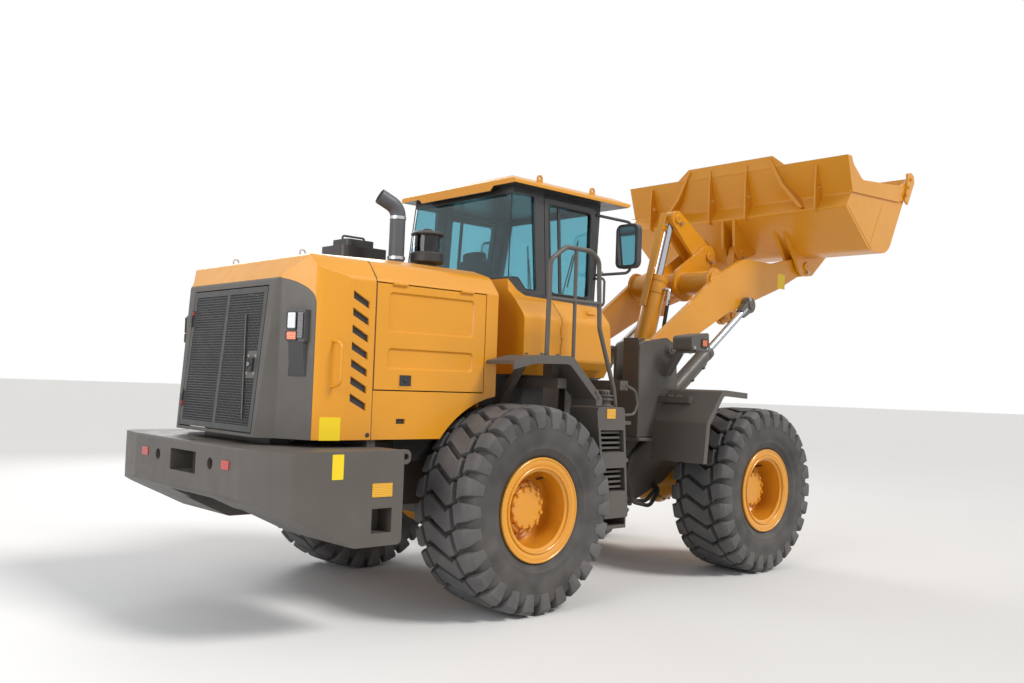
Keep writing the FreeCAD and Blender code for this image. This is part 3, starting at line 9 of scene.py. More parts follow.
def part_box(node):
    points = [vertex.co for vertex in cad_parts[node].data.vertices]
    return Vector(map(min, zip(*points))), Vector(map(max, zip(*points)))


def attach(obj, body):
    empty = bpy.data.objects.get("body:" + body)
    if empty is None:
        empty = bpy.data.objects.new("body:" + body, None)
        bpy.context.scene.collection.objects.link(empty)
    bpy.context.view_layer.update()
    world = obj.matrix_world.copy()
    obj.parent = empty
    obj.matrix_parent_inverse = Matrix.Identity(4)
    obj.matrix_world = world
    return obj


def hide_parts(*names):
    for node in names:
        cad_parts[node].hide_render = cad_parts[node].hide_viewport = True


bl_info = {
    "name": "Articulated wheel loader",
    "version": (1, 0, 0),
    "blender": (4, 5, 0),
    "location": "View3D > Sidebar > Loader",
    "description": "Finishes a wheel loader: paint, tyres, lamps, bolts, hoses and trim",
    "category": "Object",
}

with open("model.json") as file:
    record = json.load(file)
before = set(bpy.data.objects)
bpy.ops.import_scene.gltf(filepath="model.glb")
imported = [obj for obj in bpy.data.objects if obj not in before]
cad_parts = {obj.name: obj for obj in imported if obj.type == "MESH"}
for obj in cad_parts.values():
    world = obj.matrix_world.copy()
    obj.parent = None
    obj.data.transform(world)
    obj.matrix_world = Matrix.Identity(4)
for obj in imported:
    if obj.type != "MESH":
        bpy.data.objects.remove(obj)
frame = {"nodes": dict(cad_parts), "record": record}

# Places are in metres from the rear axle's line on the floor, +X forward, +Y left, +Z up
REAR_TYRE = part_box("tyre_rear_right")
FRONT_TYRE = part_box("tyre_front_right")
REAR_AXLE_X = (REAR_TYRE[0].x + REAR_TYRE[1].x) / 2
FRONT_AXLE_X = (FRONT_TYRE[0].x + FRONT_TYRE[1].x) / 2
AXLE_Z = (REAR_TYRE[0].z + REAR_TYRE[1].z) / 2
TRACK = -(REAR_TYRE[0].y + REAR_TYRE[1].y)
WHEELBASE = FRONT_AXLE_X - REAR_AXLE_X

SIDES = (("left", 1), ("right", -1))
WHEELS = [(f"{end}_{side}", x, sign * TRACK / 2, sign)
          for end, x in (("rear", 0.0), ("front", WHEELBASE)) for side, sign in SIDES]

PICTURE_WIDTH = 1024.0
FOCAL_PIXELS = 962.0
SENSOR_MM = 36.0
CAMERA_PLACE = (-5.107, -6.495, 1.716)
CAMERA_YAW = math.radians(47.16)
CAMERA_PITCH = math.radians(2.56)
CAMERA_ROLL = math.radians(2.03)


def at(x, y, z):
    return Vector((x + REAR_AXLE_X, y, z))


# Settings

class PaintSettings(bpy.types.PropertyGroup):
    yellow: bpy.props.FloatVectorProperty(
        name="Yellow enamel", description="Main body and boom", subtype="COLOR", size=3,
        min=0, max=1, default=(0.70, 0.290, 0.008))
    grey: bpy.props.FloatVectorProperty(
        name="Grey enamel", description="Counterweight, frames and fenders", subtype="COLOR", size=3,
        min=0, max=1, default=(0.085, 0.075, 0.066))
    black: bpy.props.FloatVectorProperty(
        name="Black enamel", description="Rails, mirrors and grille", subtype="COLOR", size=3,
        min=0, max=1, default=(0.028, 0.028, 0.030))
    rubber: bpy.props.FloatVectorProperty(
        name="Rubber", description="Tyres and hoses", subtype="COLOR", size=3,
        min=0, max=1, default=(0.045, 0.044, 0.045))
    dust: bpy.props.FloatVectorProperty(
        name="Yard dust", description="Pale dust that lies on flat places", subtype="COLOR", size=3,
        min=0, max=1, default=(0.36, 0.31, 0.25))


class TyreSettings(bpy.types.PropertyGroup):
    lugs: bpy.props.IntProperty(
        name="Lugs", description="Rows of tread blocks round a tyre", min=12, max=40, default=26)
    gap: bpy.props.FloatProperty(
        name="Groove share", description="Half of a groove's width as a share of the pitch",
        min=0.04, max=0.2, default=0.125)


class GrilleSettings(bpy.types.PropertyGroup):
    pitch: bpy.props.FloatProperty(
        name="Mesh pitch", description="Distance between the bars of the grille's mesh", unit="LENGTH",
        min=0.010, max=0.060, default=0.0187)
    wire: bpy.props.FloatProperty(
        name="Mesh bar", description="Width of a bar of the grille's mesh", unit="LENGTH",
        min=0.002, max=0.015, default=0.006)


class FastenerSettings(bpy.types.PropertyGroup):
    head: bpy.props.FloatProperty(
        name="Bolt head", description="Radius across the corners", unit="LENGTH",
        min=0.004, max=0.03, default=0.0135)
    height: bpy.props.FloatProperty(
        name="Head height", description="Height of a bolt's head", unit="LENGTH",
        min=0.002, max=0.03, default=0.010)


class StageSettings(bpy.types.PropertyGroup):
    floor: bpy.props.FloatVectorProperty(
        name="Floor", description="Colour of the studio floor", subtype="COLOR", size=3,
        min=0, max=1, default=(0.78, 0.775, 0.77))
    key: bpy.props.FloatProperty(
        name="Key lamp", description="Strength of the broad lamp that lights all of the floor evenly",
        min=0, max=20, default=2.2)
    fill: bpy.props.FloatProperty(
        name="Fill lamp", description="Power of the soft lamps behind the machine in watts",
        min=0, max=20000, default=450.0)


# Mesh making

def prism(bm, outline, offset):
    """A flat outline of points, pushed along offset."""
    low = [bm.verts.new(p) for p in outline]
    high = [bm.verts.new(Vector(p) + Vector(offset)) for p in outline]
    bm.faces.new(low)
    bm.faces.new(high[::-1])
    count = len(low)
    for i in range(count):
        j = (i + 1) % count
        bm.faces.new((low[i], high[i], high[j], low[j]))


def block(bm, x0, x1, y0, y1, z0, z1):
    prism(bm, [at(x0, y0, z0), at(x1, y0, z0), at(x1, y1, z0), at(x0, y1, z0)], (0, 0, z1 - z0))


def rod(bm, p, q, radius, sides=24, end_radius=None):
    p, q = Vector(p), Vector(q)
    axis = q - p
    turn = Vector((0, 0, 1)).rotation_difference(axis).to_matrix().to_4x4()
    place = Matrix.Translation((p + q) / 2) @ turn
    bmesh.ops.create_cone(bm, cap_ends=True, segments=sides, radius1=radius,
                          radius2=radius if end_radius is None else end_radius,
                          depth=axis.length, matrix=place)


def turned(bm, profile, centre, axis, steps=48):
    """A closed body of revolution from (radius, distance along axis) points."""
    axis = Vector(axis).normalized()
    side = axis.orthogonal().normalized()
    ring = [bm.verts.new(Vector(centre) + axis * along + side * radius) for radius, along in profile]
    edges = [bm.edges.new((ring[i], ring[(i + 1) % len(ring)])) for i in range(len(ring))]
    bmesh.ops.spin(bm, geom=ring + edges, cent=Vector(centre), axis=axis, angle=math.tau, steps=steps,
                   use_merge=True)


def rounded(points, bend, steps=5):
    """The points of a bent line, with each corner as an arc."""
    points = [Vector(p) for p in points]
    path = [points[0]]
    for before, here, after in zip(points, points[1:], points[2:]):
        back, on = before - here, after - here
        half = back.angle(on) / 2
        run = min(bend / math.tan(half), 0.48 * back.length, 0.48 * on.length)
        first, last = here + back.normalized() * run, here + on.normalized() * run
        for i in range(steps + 1):
            t = i / steps
            path.append(first * (1 - t) ** 2 + here * 2 * t * (1 - t) + last * t ** 2)
    return path + [points[-1]]


def tube(bm, points, radius, bend=0.06, resolution=3):
    """A bent round bar or pipe with closed ends."""
    line = bpy.data.curves.new("bar", "CURVE")
    line.dimensions = "3D"
    line.bevel_depth = radius
    line.bevel_resolution = resolution
    line.use_fill_caps = True
    path = rounded(points, bend)
    spline = line.splines.new("POLY")
    spline.points.add(len(path) - 1)
    for point, place in zip(spline.points, path):
        point.co = (*place, 1)
    holder = bpy.data.objects.new("bar", line)
    mesh = bpy.data.meshes.new_from_object(holder)
    bm.from_mesh(mesh)
    bpy.data.objects.remove(holder)
    bpy.data.meshes.remove(mesh)
    bpy.data.curves.remove(line)


def add_piece(name, bm, finish, body, bevel=0.0, smooth=True, outward=True):
    """Makes an object of the bmesh, gives it its finish and lets it ride on a body."""
    bmesh.ops.remove_doubles(bm, verts=bm.verts, dist=1e-5)
    if outward:
        bmesh.ops.recalc_face_normals(bm, faces=bm.faces)
    mesh = bpy.data.meshes.new(name)
    bm.to_mesh(mesh)
    bm.free()
    piece = bpy.data.objects.new(name, mesh)
    bpy.context.scene.collection.objects.link(piece)
    mesh.materials.append(finish)
    if smooth:
        mesh.shade_smooth()
        mesh.set_sharp_from_angle(angle=math.radians(35))
    if bevel:
        edge = piece.modifiers.new("Edges", "BEVEL")
        edge.width = bevel
        edge.segments = 2
        edge.limit_method = "ANGLE"
        edge.angle_limit = math.radians(40)
    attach(piece, body)
    return piece


UP = Vector((0, 0, 1))
REARWARD = (Vector((0, -1, 0)), UP)
FORWARD = (Vector((0, 1, 0)), UP)


def sideways(sign):
    """Across and up on a panel that faces left (1) or right (-1)."""
    return Vector((-sign, 0, 0)), UP


def cornered(middle, facing, width, height, corner, steps=4):
    """Points of a rectangle with rounded corners."""
    across, up = facing
    points = []
    for i, (u, v) in enumerate(((1, 1), (-1, 1), (-1, -1), (1, -1))):
        for step in range(steps + 1):
            a = (i + step / steps) * math.pi / 2
            points.append(middle + across * (u * (width / 2 - corner) + corner * math.cos(a))
                          + up * (v * (height / 2 - corner) + corner * math.sin(a)))
    return points


def outward(facing):
    return facing[0].cross(facing[1]).normalized()


def plate(bm, middle, facing, width, height, depth, corner=0.004, sunk=0.001):
    """A plate with rounded corners that stands out from a surface."""
    out = outward(facing)
    prism(bm, cornered(middle - out * sunk, facing, width, height, corner), out * (depth + sunk))


def border(bm, middle, facing, width, height, band, depth, corner=0.02, sunk=0.001):
    """A flat frame with an open middle."""
    out = outward(facing)
    loops = []
    for shrink in (0.0, band):
        outline = cornered(middle - out * sunk, facing, width - 2 * shrink, height - 2 * shrink,
                           max(corner - shrink, 0.002))
        loops.append([bm.verts.new(p) for p in outline])
        loops.append([bm.verts.new(p + out * (depth + sunk)) for p in outline])
    low, high, low_in, high_in = loops
    for a, b in ((low, high), (high, high_in), (high_in, low_in), (low_in, low)):
        for i in range(len(a)):
            j = (i + 1) % len(a)
            bm.faces.new((a[i], a[j], b[j], b[i]))


def loop_tube(bm, points, radius, bend=0.02):
    """A bar round a closed line of points, joined in the middle of its first run."""
    points = [Vector(p) for p in points]
    start = (points[0] + points[1]) / 2
    tube(bm, [start] + points[1:] + [points[0], start], radius, bend, 2)


def ring(bm, centre, axis, radius, thick, steps=40):
    """A round ring of round bar."""
    profile = [(radius + thick * math.cos(a), thick * math.sin(a))
               for a in (math.tau * i / 10 for i in range(10))]
    turned(bm, profile, centre, axis, steps)


# Geometry Nodes trees

def new_tree(name, inputs):
    """A geometry tree with named inputs, given as (name, socket type, default)."""
    tree = bpy.data.node_groups.new(name, "GeometryNodeTree")
    tree.interface.new_socket("Geometry", in_out="INPUT", socket_type="NodeSocketGeometry")
    for label, kind, value in inputs:
        socket = tree.interface.new_socket(label, in_out="INPUT", socket_type=kind)
        if value is not None:
            socket.default_value = value
    tree.interface.new_socket("Geometry", in_out="OUTPUT", socket_type="NodeSocketGeometry")
    return tree, tree.nodes.new("NodeGroupInput"), tree.nodes.new("NodeGroupOutput")


def end_tree(tree, source, start, stop):
    """Closes a tree with Realize Instances and Set Material."""
    real = tree.nodes.new("GeometryNodeRealizeInstances")
    paint = tree.nodes.new("GeometryNodeSetMaterial")
    tree.links.new(source, real.inputs["Geometry"])
    tree.links.new(real.outputs["Geometry"], paint.inputs["Geometry"])
    tree.links.new(start.outputs["Material"], paint.inputs["Material"])
    tree.links.new(paint.outputs["Geometry"], stop.inputs["Geometry"])


def math_node(tree, operation, a, b):
    node = tree.nodes.new("ShaderNodeMath")
    node.operation = operation
    for socket, value in zip(node.inputs, (a, b)):
        if isinstance(value, (int, float)):
            socket.default_value = value
        else:
            tree.links.new(value, socket)
    return node.outputs[0]


def wheel_pattern_tree():
    """Copies of a piece, turned about a wheel's axle."""
    tree, start, stop = new_tree("Round the axle", [
        ("Count", "NodeSocketInt", 12), ("Centre", "NodeSocketVector", None),
        ("Material", "NodeSocketMaterial", None)])
    line = tree.nodes.new("GeometryNodeMeshLine")
    line.inputs["Offset"].default_value = (0, 0, 0)
    copies = tree.nodes.new("GeometryNodeInstanceOnPoints")
    turn = tree.nodes.new("GeometryNodeRotateInstances")
    turn.inputs["Local Space"].default_value = False
    angle = tree.nodes.new("ShaderNodeCombineXYZ")
    index = tree.nodes.new("GeometryNodeInputIndex")
    step = math_node(tree, "DIVIDE", math.tau, start.outputs["Count"])
    tree.links.new(math_node(tree, "MULTIPLY", index.outputs[0], step), angle.inputs["Y"])
    tree.links.new(start.outputs["Count"], line.inputs["Count"])
    tree.links.new(line.outputs["Mesh"], copies.inputs["Points"])
    tree.links.new(start.outputs["Geometry"], copies.inputs["Instance"])
    tree.links.new(copies.outputs["Instances"], turn.inputs["Instances"])
    tree.links.new(angle.outputs[0], turn.inputs["Rotation"])
    tree.links.new(start.outputs["Centre"], turn.inputs["Pivot Point"])
    end_tree(tree, turn.outputs["Instances"], start, stop)
    return tree


def grid_tree():
    """Copies of a piece in rows: Across copies a step apart, then Up copies of that row."""
    tree, start, stop = new_tree("Rows", [
        ("Across", "NodeSocketInt", 2), ("Step Across", "NodeSocketVector", None),
        ("Up", "NodeSocketInt", 1), ("Step Up", "NodeSocketVector", None),
        ("Material", "NodeSocketMaterial", None)])
    source = start.outputs["Geometry"]
    for count, step in (("Across", "Step Across"), ("Up", "Step Up")):
        line = tree.nodes.new("GeometryNodeMeshLine")
        copies = tree.nodes.new("GeometryNodeInstanceOnPoints")
        tree.links.new(start.outputs[count], line.inputs["Count"])
        tree.links.new(start.outputs[step], line.inputs["Offset"])
        tree.links.new(line.outputs["Mesh"], copies.inputs["Points"])
        tree.links.new(source, copies.inputs["Instance"])
        source = copies.outputs["Instances"]
    end_tree(tree, source, start, stop)
    return tree


def fastener_tree():
    """A hexagon head on a washer at each point, facing along the point's own direction."""
    tree, start, stop = new_tree("Fasteners", [
        ("Head", "NodeSocketFloat", 0.0135), ("Height", "NodeSocketFloat", 0.01),
        ("Material", "NodeSocketMaterial", None)])
    parts = tree.nodes.new("GeometryNodeJoinGeometry")
    washer_height = math_node(tree, "MULTIPLY", start.outputs["Height"], 0.3)
    for sides, width, height in ((6, 1.0, start.outputs["Height"]), (16, 1.45, washer_height)):
        body = tree.nodes.new("GeometryNodeMeshCylinder")
        body.inputs["Vertices"].default_value = sides
        tree.links.new(math_node(tree, "MULTIPLY", start.outputs["Head"], width), body.inputs["Radius"])
        tree.links.new(height, body.inputs["Depth"])
        lift = tree.nodes.new("GeometryNodeTransform")
        rise = tree.nodes.new("ShaderNodeCombineXYZ")
        half = math_node(tree, "MULTIPLY", height, 0.5)
        if sides == 6:
            half = math_node(tree, "ADD", half, washer_height)
        tree.links.new(half, rise.inputs["Z"])
        tree.links.new(body.outputs["Mesh"], lift.inputs["Geometry"])
        tree.links.new(rise.outputs[0], lift.inputs["Translation"])
        tree.links.new(lift.outputs["Geometry"], parts.inputs[0])
    facing = tree.nodes.new("GeometryNodeInputNamedAttribute")
    facing.data_type = "FLOAT_VECTOR"
    facing.inputs["Name"].default_value = "facing"
    align = tree.nodes.new("FunctionNodeAlignRotationToVector")
    align.axis = "Z"
    copies = tree.nodes.new("GeometryNodeInstanceOnPoints")
    tree.links.new(facing.outputs["Attribute"], align.inputs["Vector"])
    tree.links.new(start.outputs["Geometry"], copies.inputs["Points"])
    tree.links.new(parts.outputs[0], copies.inputs["Instance"])
    tree.links.new(align.outputs[0], copies.inputs["Rotation"])
    end_tree(tree, copies.outputs["Instances"], start, stop)
    return tree


def weld_tree():
    """A rippled bead that follows a line of edges."""
    tree, start, stop = new_tree("Weld bead", [
        ("Radius", "NodeSocketFloat", 0.009), ("Ripple", "NodeSocketFloat", 0.018),
        ("Material", "NodeSocketMaterial", None)])
    curve = tree.nodes.new("GeometryNodeMeshToCurve")
    again = tree.nodes.new("GeometryNodeResampleCurve")
    again.mode = "LENGTH"
    again.inputs["Length"].default_value = 0.006
    along = tree.nodes.new("GeometryNodeSplineParameter")
    wave = math_node(tree, "SINE", math_node(tree, "DIVIDE", math_node(
        tree, "MULTIPLY", along.outputs["Length"], math.tau), start.outputs["Ripple"]), 0)
    scale = math_node(tree, "ADD", math_node(tree, "MULTIPLY", wave, 0.12), 1.0)
    thick = tree.nodes.new("GeometryNodeSetCurveRadius")
    ring = tree.nodes.new("GeometryNodeCurvePrimitiveCircle")
    ring.inputs["Resolution"].default_value = 8
    ring.inputs["Radius"].default_value = 1.0
    skin = tree.nodes.new("GeometryNodeCurveToMesh")
    skin.inputs["Fill Caps"].default_value = True
    tree.links.new(start.outputs["Geometry"], curve.inputs["Mesh"])
    tree.links.new(curve.outputs["Curve"], again.inputs["Curve"])
    tree.links.new(again.outputs["Curve"], thick.inputs["Curve"])
    tree.links.new(math_node(tree, "MULTIPLY", scale, start.outputs["Radius"]), thick.inputs["Radius"])
    tree.links.new(thick.outputs["Curve"], skin.inputs["Curve"])
    tree.links.new(ring.outputs["Curve"], skin.inputs["Profile Curve"])
    if "Scale" in skin.inputs:
        tree.links.new(math_node(tree, "MULTIPLY", scale, start.outputs["Radius"]), skin.inputs["Scale"])
    end_tree(tree, skin.outputs["Mesh"], start, stop)
    return tree


def grown(name, mesh, tree, values, finish, body, smooth=True):
    """Runs a tree on a mesh, keeps the result as a plain mesh and lets it ride on a body."""
    seed = bpy.data.objects.new(name + "_seed", mesh)
    bpy.context.scene.collection.objects.link(seed)
    modifier = seed.modifiers.new("Tree", "NODES")
    modifier.node_group = tree
    values = dict(values, Material=finish)
    for item in tree.interface.items_tree:
        if item.in_out == "INPUT" and item.name in values:
            modifier[item.identifier] = values[item.name]
    plain = bpy.data.meshes.new_from_object(seed.evaluated_get(bpy.context.evaluated_depsgraph_get()))
    bpy.data.objects.remove(seed)
    piece = bpy.data.objects.new(name, plain)
    plain.name = name
    bpy.context.scene.collection.objects.link(piece)
    if smooth:
        plain.shade_smooth()
        plain.set_sharp_from_angle(angle=math.radians(35))
    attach(piece, body)
    return piece


def cell_of(bm, name):
    """The mesh of one piece that a tree then repeats."""
    bmesh.ops.recalc_face_normals(bm, faces=bm.faces)
    mesh = bpy.data.meshes.new(name)
    bm.to_mesh(mesh)
    bm.free()
    return mesh


def rows(name, bm, across, step_across, up, step_up, finish, body):
    return grown(name, cell_of(bm, name), tree_named("Rows"),
                 {"Across": across, "Step Across": tuple(step_across), "Up": up, "Step Up": tuple(step_up)},
                 finish_named(finish), body)


def point_mesh(name, places):
    """Loose points with their facing directions, from (place, direction) pairs."""
    mesh = bpy.data.meshes.new(name)
    mesh.from_pydata([tuple(place) for place, direction in places], [], [])
    facing = mesh.attributes.new("facing", "FLOAT_VECTOR", "POINT")
    for item, (place, direction) in zip(facing.data, places):
        item.vector = direction
    return mesh


def line_mesh(name, lines):
    """Open lines of edges, from lists of points."""
    points, edges = [], []
    for line in lines:
        first = len(points)
        points += [tuple(p) for p in line]
        edges += [(first + i, first + i + 1) for i in range(len(line) - 1)]
    mesh = bpy.data.meshes.new(name)
    mesh.from_pydata(points, edges, [])
    return mesh


def bolts(name, places, body, size=1.0, finish="zinc"):
    settings = bpy.context.scene.loader_fasteners
    return grown(name, point_mesh(name, places), tree_named("Fasteners"),
                 {"Head": settings.head * size, "Height": settings.height * size},
                 finish_named(finish), body)


def welds(name, lines, body, finish="yellow_paint", radius=0.009):
    return grown(name, line_mesh(name, lines), tree_named("Weld bead"), {"Radius": radius},
                 finish_named(finish), body)


TREES = {"Round the axle": wheel_pattern_tree, "Rows": grid_tree, "Fasteners": fastener_tree,
         "Weld bead": weld_tree}


def tree_named(name):
    return bpy.data.node_groups.get(name) or TREES[name]()


# Shader groups

def new_group(name, inputs, outputs):
    group = bpy.data.node_groups.new(name, "ShaderNodeTree")
    for label, kind, value in inputs:
        socket = group.interface.new_socket(label, in_out="INPUT", socket_type=kind)
        socket.default_value = value
    for label, kind in outputs:
        group.interface.new_socket(label, in_out="OUTPUT", socket_type=kind)
    return group, group.nodes.new("NodeGroupInput"), group.nodes.new("NodeGroupOutput")


def noise(tree, scale, detail=3.0, source=None):
    texture = tree.nodes.new("ShaderNodeTexNoise")
    texture.inputs["Detail"].default_value = detail
    if source is None:
        source = tree.nodes.new("ShaderNodeTexCoord").outputs["Object"]
    tree.links.new(source, texture.inputs["Vector"])
    if isinstance(scale, (int, float)):
        texture.inputs["Scale"].default_value = scale
    else:
        tree.links.new(scale, texture.inputs["Scale"])
    return texture.outputs["Fac"]


def spread(tree, value, low, high, to_low=0.0, to_high=1.0):
    node = tree.nodes.new("ShaderNodeMapRange")
    for label, number in (("From Min", low), ("From Max", high), ("To Min", to_low), ("To Max", to_high)):
        if isinstance(number, (int, float)):
            node.inputs[label].default_value = number
        else:
            tree.links.new(number, node.inputs[label])
    tree.links.new(value, node.inputs["Value"])
    return node.outputs["Result"]


def blended(tree, share, a, b, mode="MIX"):
    node = tree.nodes.new("ShaderNodeMix")
    node.data_type = "RGBA"
    node.blend_type = mode
    for socket, value in ((node.inputs[0], share), (node.inputs[6], a), (node.inputs[7], b)):
        if isinstance(value, (int, float, tuple)):
            socket.default_value = value
        else:
            tree.links.new(value, socket)
    return node.outputs[2]


def dust_group():
    """Yard dust: cloudy, thicker on faces that look up and near the ground."""
    group, start, stop = new_group(
        "Yard dust",
        [("Color", "NodeSocketColor", (0.5, 0.5, 0.5, 1)), ("Dust", "NodeSocketColor", (0.4, 0.35, 0.3, 1)),
         ("Amount", "NodeSocketFloat", 0.3), ("Scale", "NodeSocketFloat", 3.0)],
        [("Color", "NodeSocketColor"), ("Mask", "NodeSocketFloat")])
    cloud = noise(group, start.outputs["Scale"], 6.0)
    speck = noise(group, 140.0, 2.0)
    normal = group.nodes.new("ShaderNodeSeparateXYZ")
    group.links.new(group.nodes.new("ShaderNodeNewGeometry").outputs["Normal"], normal.inputs[0])
    up = spread(group, normal.outputs["Z"], 0.2, 1.0, 0.25, 1.0)
    place = group.nodes.new("ShaderNodeSeparateXYZ")
    group.links.new(group.nodes.new("ShaderNodeTexCoord").outputs["Object"], place.inputs[0])
    low = spread(group, place.outputs["Z"], 0.0, 1.6, 1.0, 0.3)
    veil = math_node(group, "MULTIPLY", spread(group, cloud, 0.35, 0.75), math_node(group, "MAXIMUM", up, low))
    veil = math_node(group, "ADD", veil, spread(group, speck, 0.62, 0.75, 0.0, 0.25))
    mask = math_node(group, "MULTIPLY", veil, start.outputs["Amount"])
    group.links.new(blended(group, mask, start.outputs["Color"], start.outputs["Dust"]),
                    stop.inputs["Color"])
    group.links.new(mask, stop.inputs["Mask"])
    return group


def grain_group():
    """Fine surface relief: slow waves of a sprayed or moulded skin with a finer grain on them."""
    group, start, stop = new_group(
        "Fine grain", [("Scale", "NodeSocketFloat", 60.0), ("Fine", "NodeSocketFloat", 0.3)],
        [("Height", "NodeSocketFloat")])
    slow = noise(group, start.outputs["Scale"], 2.0)
    fine = noise(group, math_node(group, "MULTIPLY", start.outputs["Scale"], 7.0), 2.0)
    height = math_node(group, "ADD", slow, math_node(group, "MULTIPLY", fine, start.outputs["Fine"]))
    group.links.new(height, stop.inputs["Height"])
    return group


def edge_group():
    """Edge mask for a lighter tone that is partly wear and partly painted highlight, from how far a rounded normal
    leaves the face's own.
    """
    group, start, stop = new_group(
        "Edge wear", [("Breakup", "NodeSocketFloat", 25.0)],
        [("Mask", "NodeSocketFloat"), ("Normal", "NodeSocketVector")])
    bevel = group.nodes.new("ShaderNodeBevel")
    bevel.samples = 4
    bevel.inputs["Radius"].default_value = 0.005
    own = group.nodes.new("ShaderNodeNewGeometry")
    dot = group.nodes.new("ShaderNodeVectorMath")
    dot.operation = "DOT_PRODUCT"
    group.links.new(bevel.outputs["Normal"], dot.inputs[0])
    group.links.new(own.outputs["Normal"], dot.inputs[1])
    edge = spread(group, dot.outputs["Value"], 0.97, 0.80)
    broken = spread(group, noise(group, start.outputs["Breakup"], 4.0), 0.42, 0.62)
    group.links.new(math_node(group, "MULTIPLY", edge, broken), stop.inputs["Mask"])
    group.links.new(bevel.outputs["Normal"], stop.inputs["Normal"])
    return group


GROUPS = {"Yard dust": dust_group, "Fine grain": grain_group, "Edge wear": edge_group}


def place_group(tree, name, values):
    node = tree.nodes.new("ShaderNodeGroup")
    node.node_tree = bpy.data.node_groups.get(name) or GROUPS[name]()
    for label, value in values.items():
        if isinstance(value, (int, float, tuple)):
            node.inputs[label].default_value = value
        else:
            tree.links.new(value, node.inputs[label])
    return node


# Finishes

def new_material(name, **sockets):
    material = bpy.data.materials.new(name)
    material.use_nodes = True
    shader = material.node_tree.nodes["Principled BSDF"]
    for label, value in sockets.items():
        shader.inputs[label.replace("_", " ")].default_value = value
    return material, material.node_tree, shader


def relief(tree, shader, height, strength, distance, normal=None):
    bump = tree.nodes.new("ShaderNodeBump")
    bump.inputs["Strength"].default_value = strength
    bump.inputs["Distance"].default_value = distance
    tree.links.new(height, bump.inputs["Height"])
    if normal is not None:
        tree.links.new(normal, bump.inputs["Normal"])
    tree.links.new(bump.outputs["Normal"], shader.inputs["Normal"])


def cab_mask(tree):
    """Everything on the cab above the line of the window sills."""
    place = tree.nodes.new("ShaderNodeSeparateXYZ")
    tree.links.new(tree.nodes.new("ShaderNodeTexCoord").outputs["Object"], place.inputs[0])
    lines = []
    # A sill line: place along the machine, height there and slope
    for x, z, slope in ((0.186, 2.579, -0.814), (0.342, 2.452, -0.040)):
        run = math_node(tree, "MULTIPLY", math_node(tree, "SUBTRACT", place.outputs["X"], x + REAR_AXLE_X),
                        slope)
        lines.append(math_node(tree, "ADD", run, z))
    return math_node(tree, "GREATER_THAN", place.outputs["Z"], math_node(tree, "MAXIMUM", *lines))


def soffit_mask(tree):
    """Faces that look down."""
    way = tree.nodes.new("ShaderNodeSeparateXYZ")
    tree.links.new(tree.nodes.new("ShaderNodeTexCoord").outputs["Normal"], way.inputs[0])
    return math_node(tree, "LESS_THAN", way.outputs["Z"], -0.5)


def painted(name, color, worn_and_highlight_color, roughness=0.34, dust=0.22, wear_and_highlight=0.5, coat=0.35, mask=None, second=None):
    """Sprayed enamel on steel plate, with a second colour where the mask is on."""
    settings = bpy.context.scene.loader_paint
    material, tree, shader = new_material(name, Coat_Roughness=0.12, IOR=1.5)
    shader.inputs["Coat Weight"].default_value = coat
    drift = noise(tree, 1.7, 3.0)
    base = blended(tree, spread(tree, drift, 0.3, 0.7), tuple(c * 0.95 for c in color) + (1,),
                   tuple(min(1, c * 1.05) for c in color) + (1,))
    if mask:
        base = blended(tree, mask(tree), base, second + (1,))
    # Edges get a lighter tone of the paint: partly wear, partly painted highlight.
    edge = place_group(tree, "Edge wear", {"Breakup": 18.0})
    share = math_node(tree, "MULTIPLY", edge.outputs["Mask"], wear_and_highlight)
    base = blended(tree, share, base, worn_and_highlight_color + (1,))
    dusty = place_group(tree, "Yard dust", {"Color": base, "Dust": tuple(settings.dust) + (1,),
                                            "Amount": dust})
    tree.links.new(dusty.outputs["Color"], shader.inputs["Base Color"])
    rough = spread(tree, noise(tree, 9.0, 4.0), 0.3, 0.7, roughness - 0.05, roughness + 0.07)
    rough = math_node(tree, "ADD", rough, math_node(tree, "MULTIPLY", dusty.outputs["Mask"], 0.5))
    tree.links.new(rough, shader.inputs["Roughness"])
    grain = place_group(tree, "Fine grain", {"Scale": 90.0, "Fine": 0.15})
    relief(tree, shader, grain.outputs["Height"], 0.10, 0.0015, edge.outputs["Normal"])
    return material


def rubber(name, color, dust=0.5, scale=45.0):
    settings = bpy.context.scene.loader_paint
    material, tree, shader = new_material(name, Specular_IOR_Level=0.35)
    tone = blended(tree, spread(tree, noise(tree, 2.5, 5.0), 0.3, 0.7), tuple(c * 0.8 for c in color) + (1,),
                   tuple(c * 1.25 for c in color) + (1,))
    dusty = place_group(tree, "Yard dust", {"Color": tone, "Dust": tuple(settings.dust) + (1,),
                                            "Amount": dust, "Scale": 5.0})
    tree.links.new(dusty.outputs["Color"], shader.inputs["Base Color"])
    tree.links.new(spread(tree, noise(tree, 20.0, 4.0), 0.3, 0.7, 0.58, 0.78), shader.inputs["Roughness"])
    grain = place_group(tree, "Fine grain", {"Scale": scale, "Fine": 0.5})
    relief(tree, shader, grain.outputs["Height"], 0.35, 0.002)
    return material


def bar_mask(tree):
    """The flat bar and the eye of the tilt cylinder's rod, which stand away from its axis."""
    base, top = Vector((2.650 + REAR_AXLE_X, 0, 1.700)), Vector((3.220 + REAR_AXLE_X, 0, 3.570))
    away = tree.nodes.new("ShaderNodeVectorMath")
    away.operation = "SUBTRACT"
    away.inputs[1].default_value = base
    tree.links.new(tree.nodes.new("ShaderNodeTexCoord").outputs["Object"], away.inputs[0])
    across = tree.nodes.new("ShaderNodeVectorMath")
    across.operation = "CROSS_PRODUCT"
    across.inputs[1].default_value = (top - base).normalized()
    tree.links.new(away.outputs["Vector"], across.inputs[0])
    length = tree.nodes.new("ShaderNodeVectorMath")
    length.operation = "LENGTH"
    tree.links.new(across.outputs["Vector"], length.inputs[0])
    return math_node(tree, "GREATER_THAN", length.outputs["Value"], 0.056)


